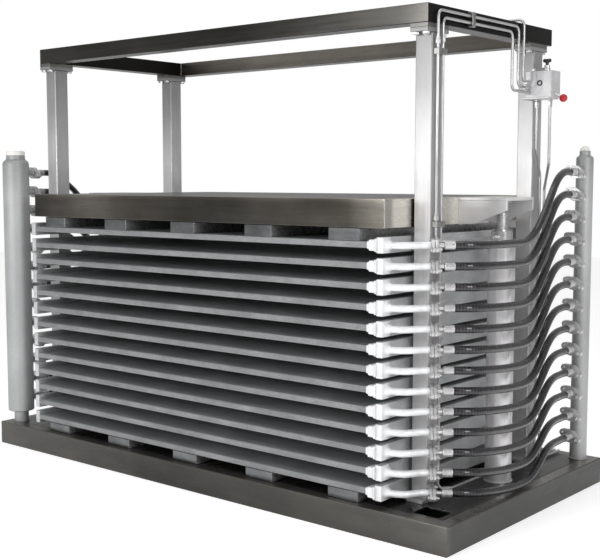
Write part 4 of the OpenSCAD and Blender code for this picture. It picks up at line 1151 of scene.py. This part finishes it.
def addLever():
    pivot = Matrix.Translation(valve["place"]) @ Matrix.Translation((valve["size"][0] / 2, 0, 0))
    pivot = pivot @ Matrix.Translation(valve["lever"])
    root = pivot @ Matrix.Translation((valve["arm"], 0, 0))
    lever = bmesh.new()
    put(lever, turned([(0, -0.024), (0.008, -0.024), (0.008, 0.005), (0.007, 0.006), (0, 0.006)], 24),
        pivot @ Matrix.Rotation(math.radians(90), 4, "Y"))
    put(lever, turned([(0, 0), (0.005, 0), (0.0045, 0.012), (0.0045, 0.026), (0, 0.026)], 16),
        root @ Matrix.Rotation(math.radians(valve["lean"]), 4, "Y"))
    finished("lever_arm", lever, "bright", "valve_lever_arm", ["valve_lever"])
    ball = bmesh.new()
    bmesh.ops.create_uvsphere(ball, u_segments=32, v_segments=20, radius=valve["ball"])
    tip = root @ Matrix.Rotation(math.radians(valve["lean"] - 90), 4, "Y")
    bmesh.ops.transform(ball, matrix=tip @ Matrix.Translation((valve["ballReach"], 0, 0)), verts=ball.verts)
    finished("lever_ball", ball, "red", "valve_lever_arm", ["valve_lever"])


def addKnob():
    knobX, knobY = valve["knob"]
    high = valve["knobHeight"]
    spot = Matrix.Translation(valve["place"]) @ Matrix.Translation((knobX, knobY, valve["size"][2]))
    knob = bmesh.new()
    put(knob, turned([(0, -0.008), (0.007, -0.008), (0.007, high - 0.01), (0.0095, high - 0.009),
                      (0.0095, high), (0, high)], 24), spot)
    put(knob, turned([(0, -0.017), (0.006, -0.017), (0.008, -0.014), (0.0072, 0), (0.008, 0.014),
                      (0.006, 0.017), (0, 0.017)], 24),
        spot @ Matrix.Translation((0, 0, high)) @ Matrix.Rotation(math.radians(90), 4, "Y"))
    finished("adjuster_knob", knob, "knobPlastic", "valve_adjuster", ["valve_knob"])


addValve()
addLever()
addKnob()
print("cylinders, tubes and valve made")

# Each light has its place, target, size and power.
studio = {
    "floorSize": 14, "floorShade": 0.85, "floorGlow": 0.45, "room": 0.9,
    "roomShades": [(0.0, 0.3), (0.48, 0.5), (0.6, 0.42), (1.0, 0.75)],
    "lights": {
        "key": ((-0.6, -6.0, 2.3), (0.2, 0, 0.8), (2.6, 1.8), 120),
        "right": ((5.5, -2.0, 2.6), (1.0, 0, 0.8), (1.6, 2.0), 85),
        "top": ((0.0, -0.5, 5.0), (0, 0, 0), (4.0, 3.0), 60),
    },
}


def addLight(name, place, target, size, power):
    light = bpy.data.objects.new(name, bpy.data.lights.new(name, "AREA"))
    light.data.shape = "RECTANGLE"
    light.data.size, light.data.size_y = size
    light.data.energy = power
    light.location = place
    light.rotation_euler = (Vector(target) - Vector(place)).to_track_quat("-Z", "Y").to_euler()
    bpy.context.scene.collection.objects.link(light)


def addFloor():
    floor = bmesh.new()
    bmesh.ops.create_grid(floor, x_segments=1, y_segments=1, size=studio["floorSize"])
    mesh = asMesh(floor, "floor")
    material, tree, shader = newMaterial("floor", 0.0, 0.9)
    shader.inputs["Base Color"].default_value = (*[studio["floorShade"]] * 3, 1)
    shader.inputs["Emission Color"].default_value = (1, 1, 1, 1)
    shader.inputs["Emission Strength"].default_value = studio["floorGlow"]
    mesh.materials.append(material)
    piece = bpy.data.objects.new("floor", mesh)
    bpy.context.scene.collection.objects.link(piece)


def addRoom():
    # A soft room lights the object, and the camera sees plain white.
    world = bpy.data.worlds.new("studio")
    world.use_nodes = True
    bpy.context.scene.world = world
    tree = world.node_tree
    room = tree.nodes["Background"]
    axes = tree.nodes.new("ShaderNodeSeparateXYZ")
    tree.links.new(tree.nodes.new("ShaderNodeTexCoord").outputs["Generated"], axes.inputs["Vector"])
    height = rangeOf(tree, axes.outputs["Z"], -1, 1)
    tree.links.new(rampOf(tree, height, studio["roomShades"]), room.inputs["Color"])
    room.inputs["Strength"].default_value = studio["room"]
    white = tree.nodes.new("ShaderNodeBackground")
    white.inputs["Color"].default_value = (1, 1, 1, 1)
    mix = tree.nodes.new("ShaderNodeMixShader")
    tree.links.new(tree.nodes.new("ShaderNodeLightPath").outputs["Is Camera Ray"], mix.inputs["Fac"])
    tree.links.new(room.outputs["Background"], mix.inputs[1])
    tree.links.new(white.outputs["Background"], mix.inputs[2])
    tree.links.new(mix.outputs["Shader"], tree.nodes["World Output"].inputs["Surface"])


addFloor()
addRoom()
for name, settings in studio["lights"].items():
    addLight(name, *settings)
bpy.context.scene.view_settings.view_transform = "Standard"
print("floor, room and lights made")
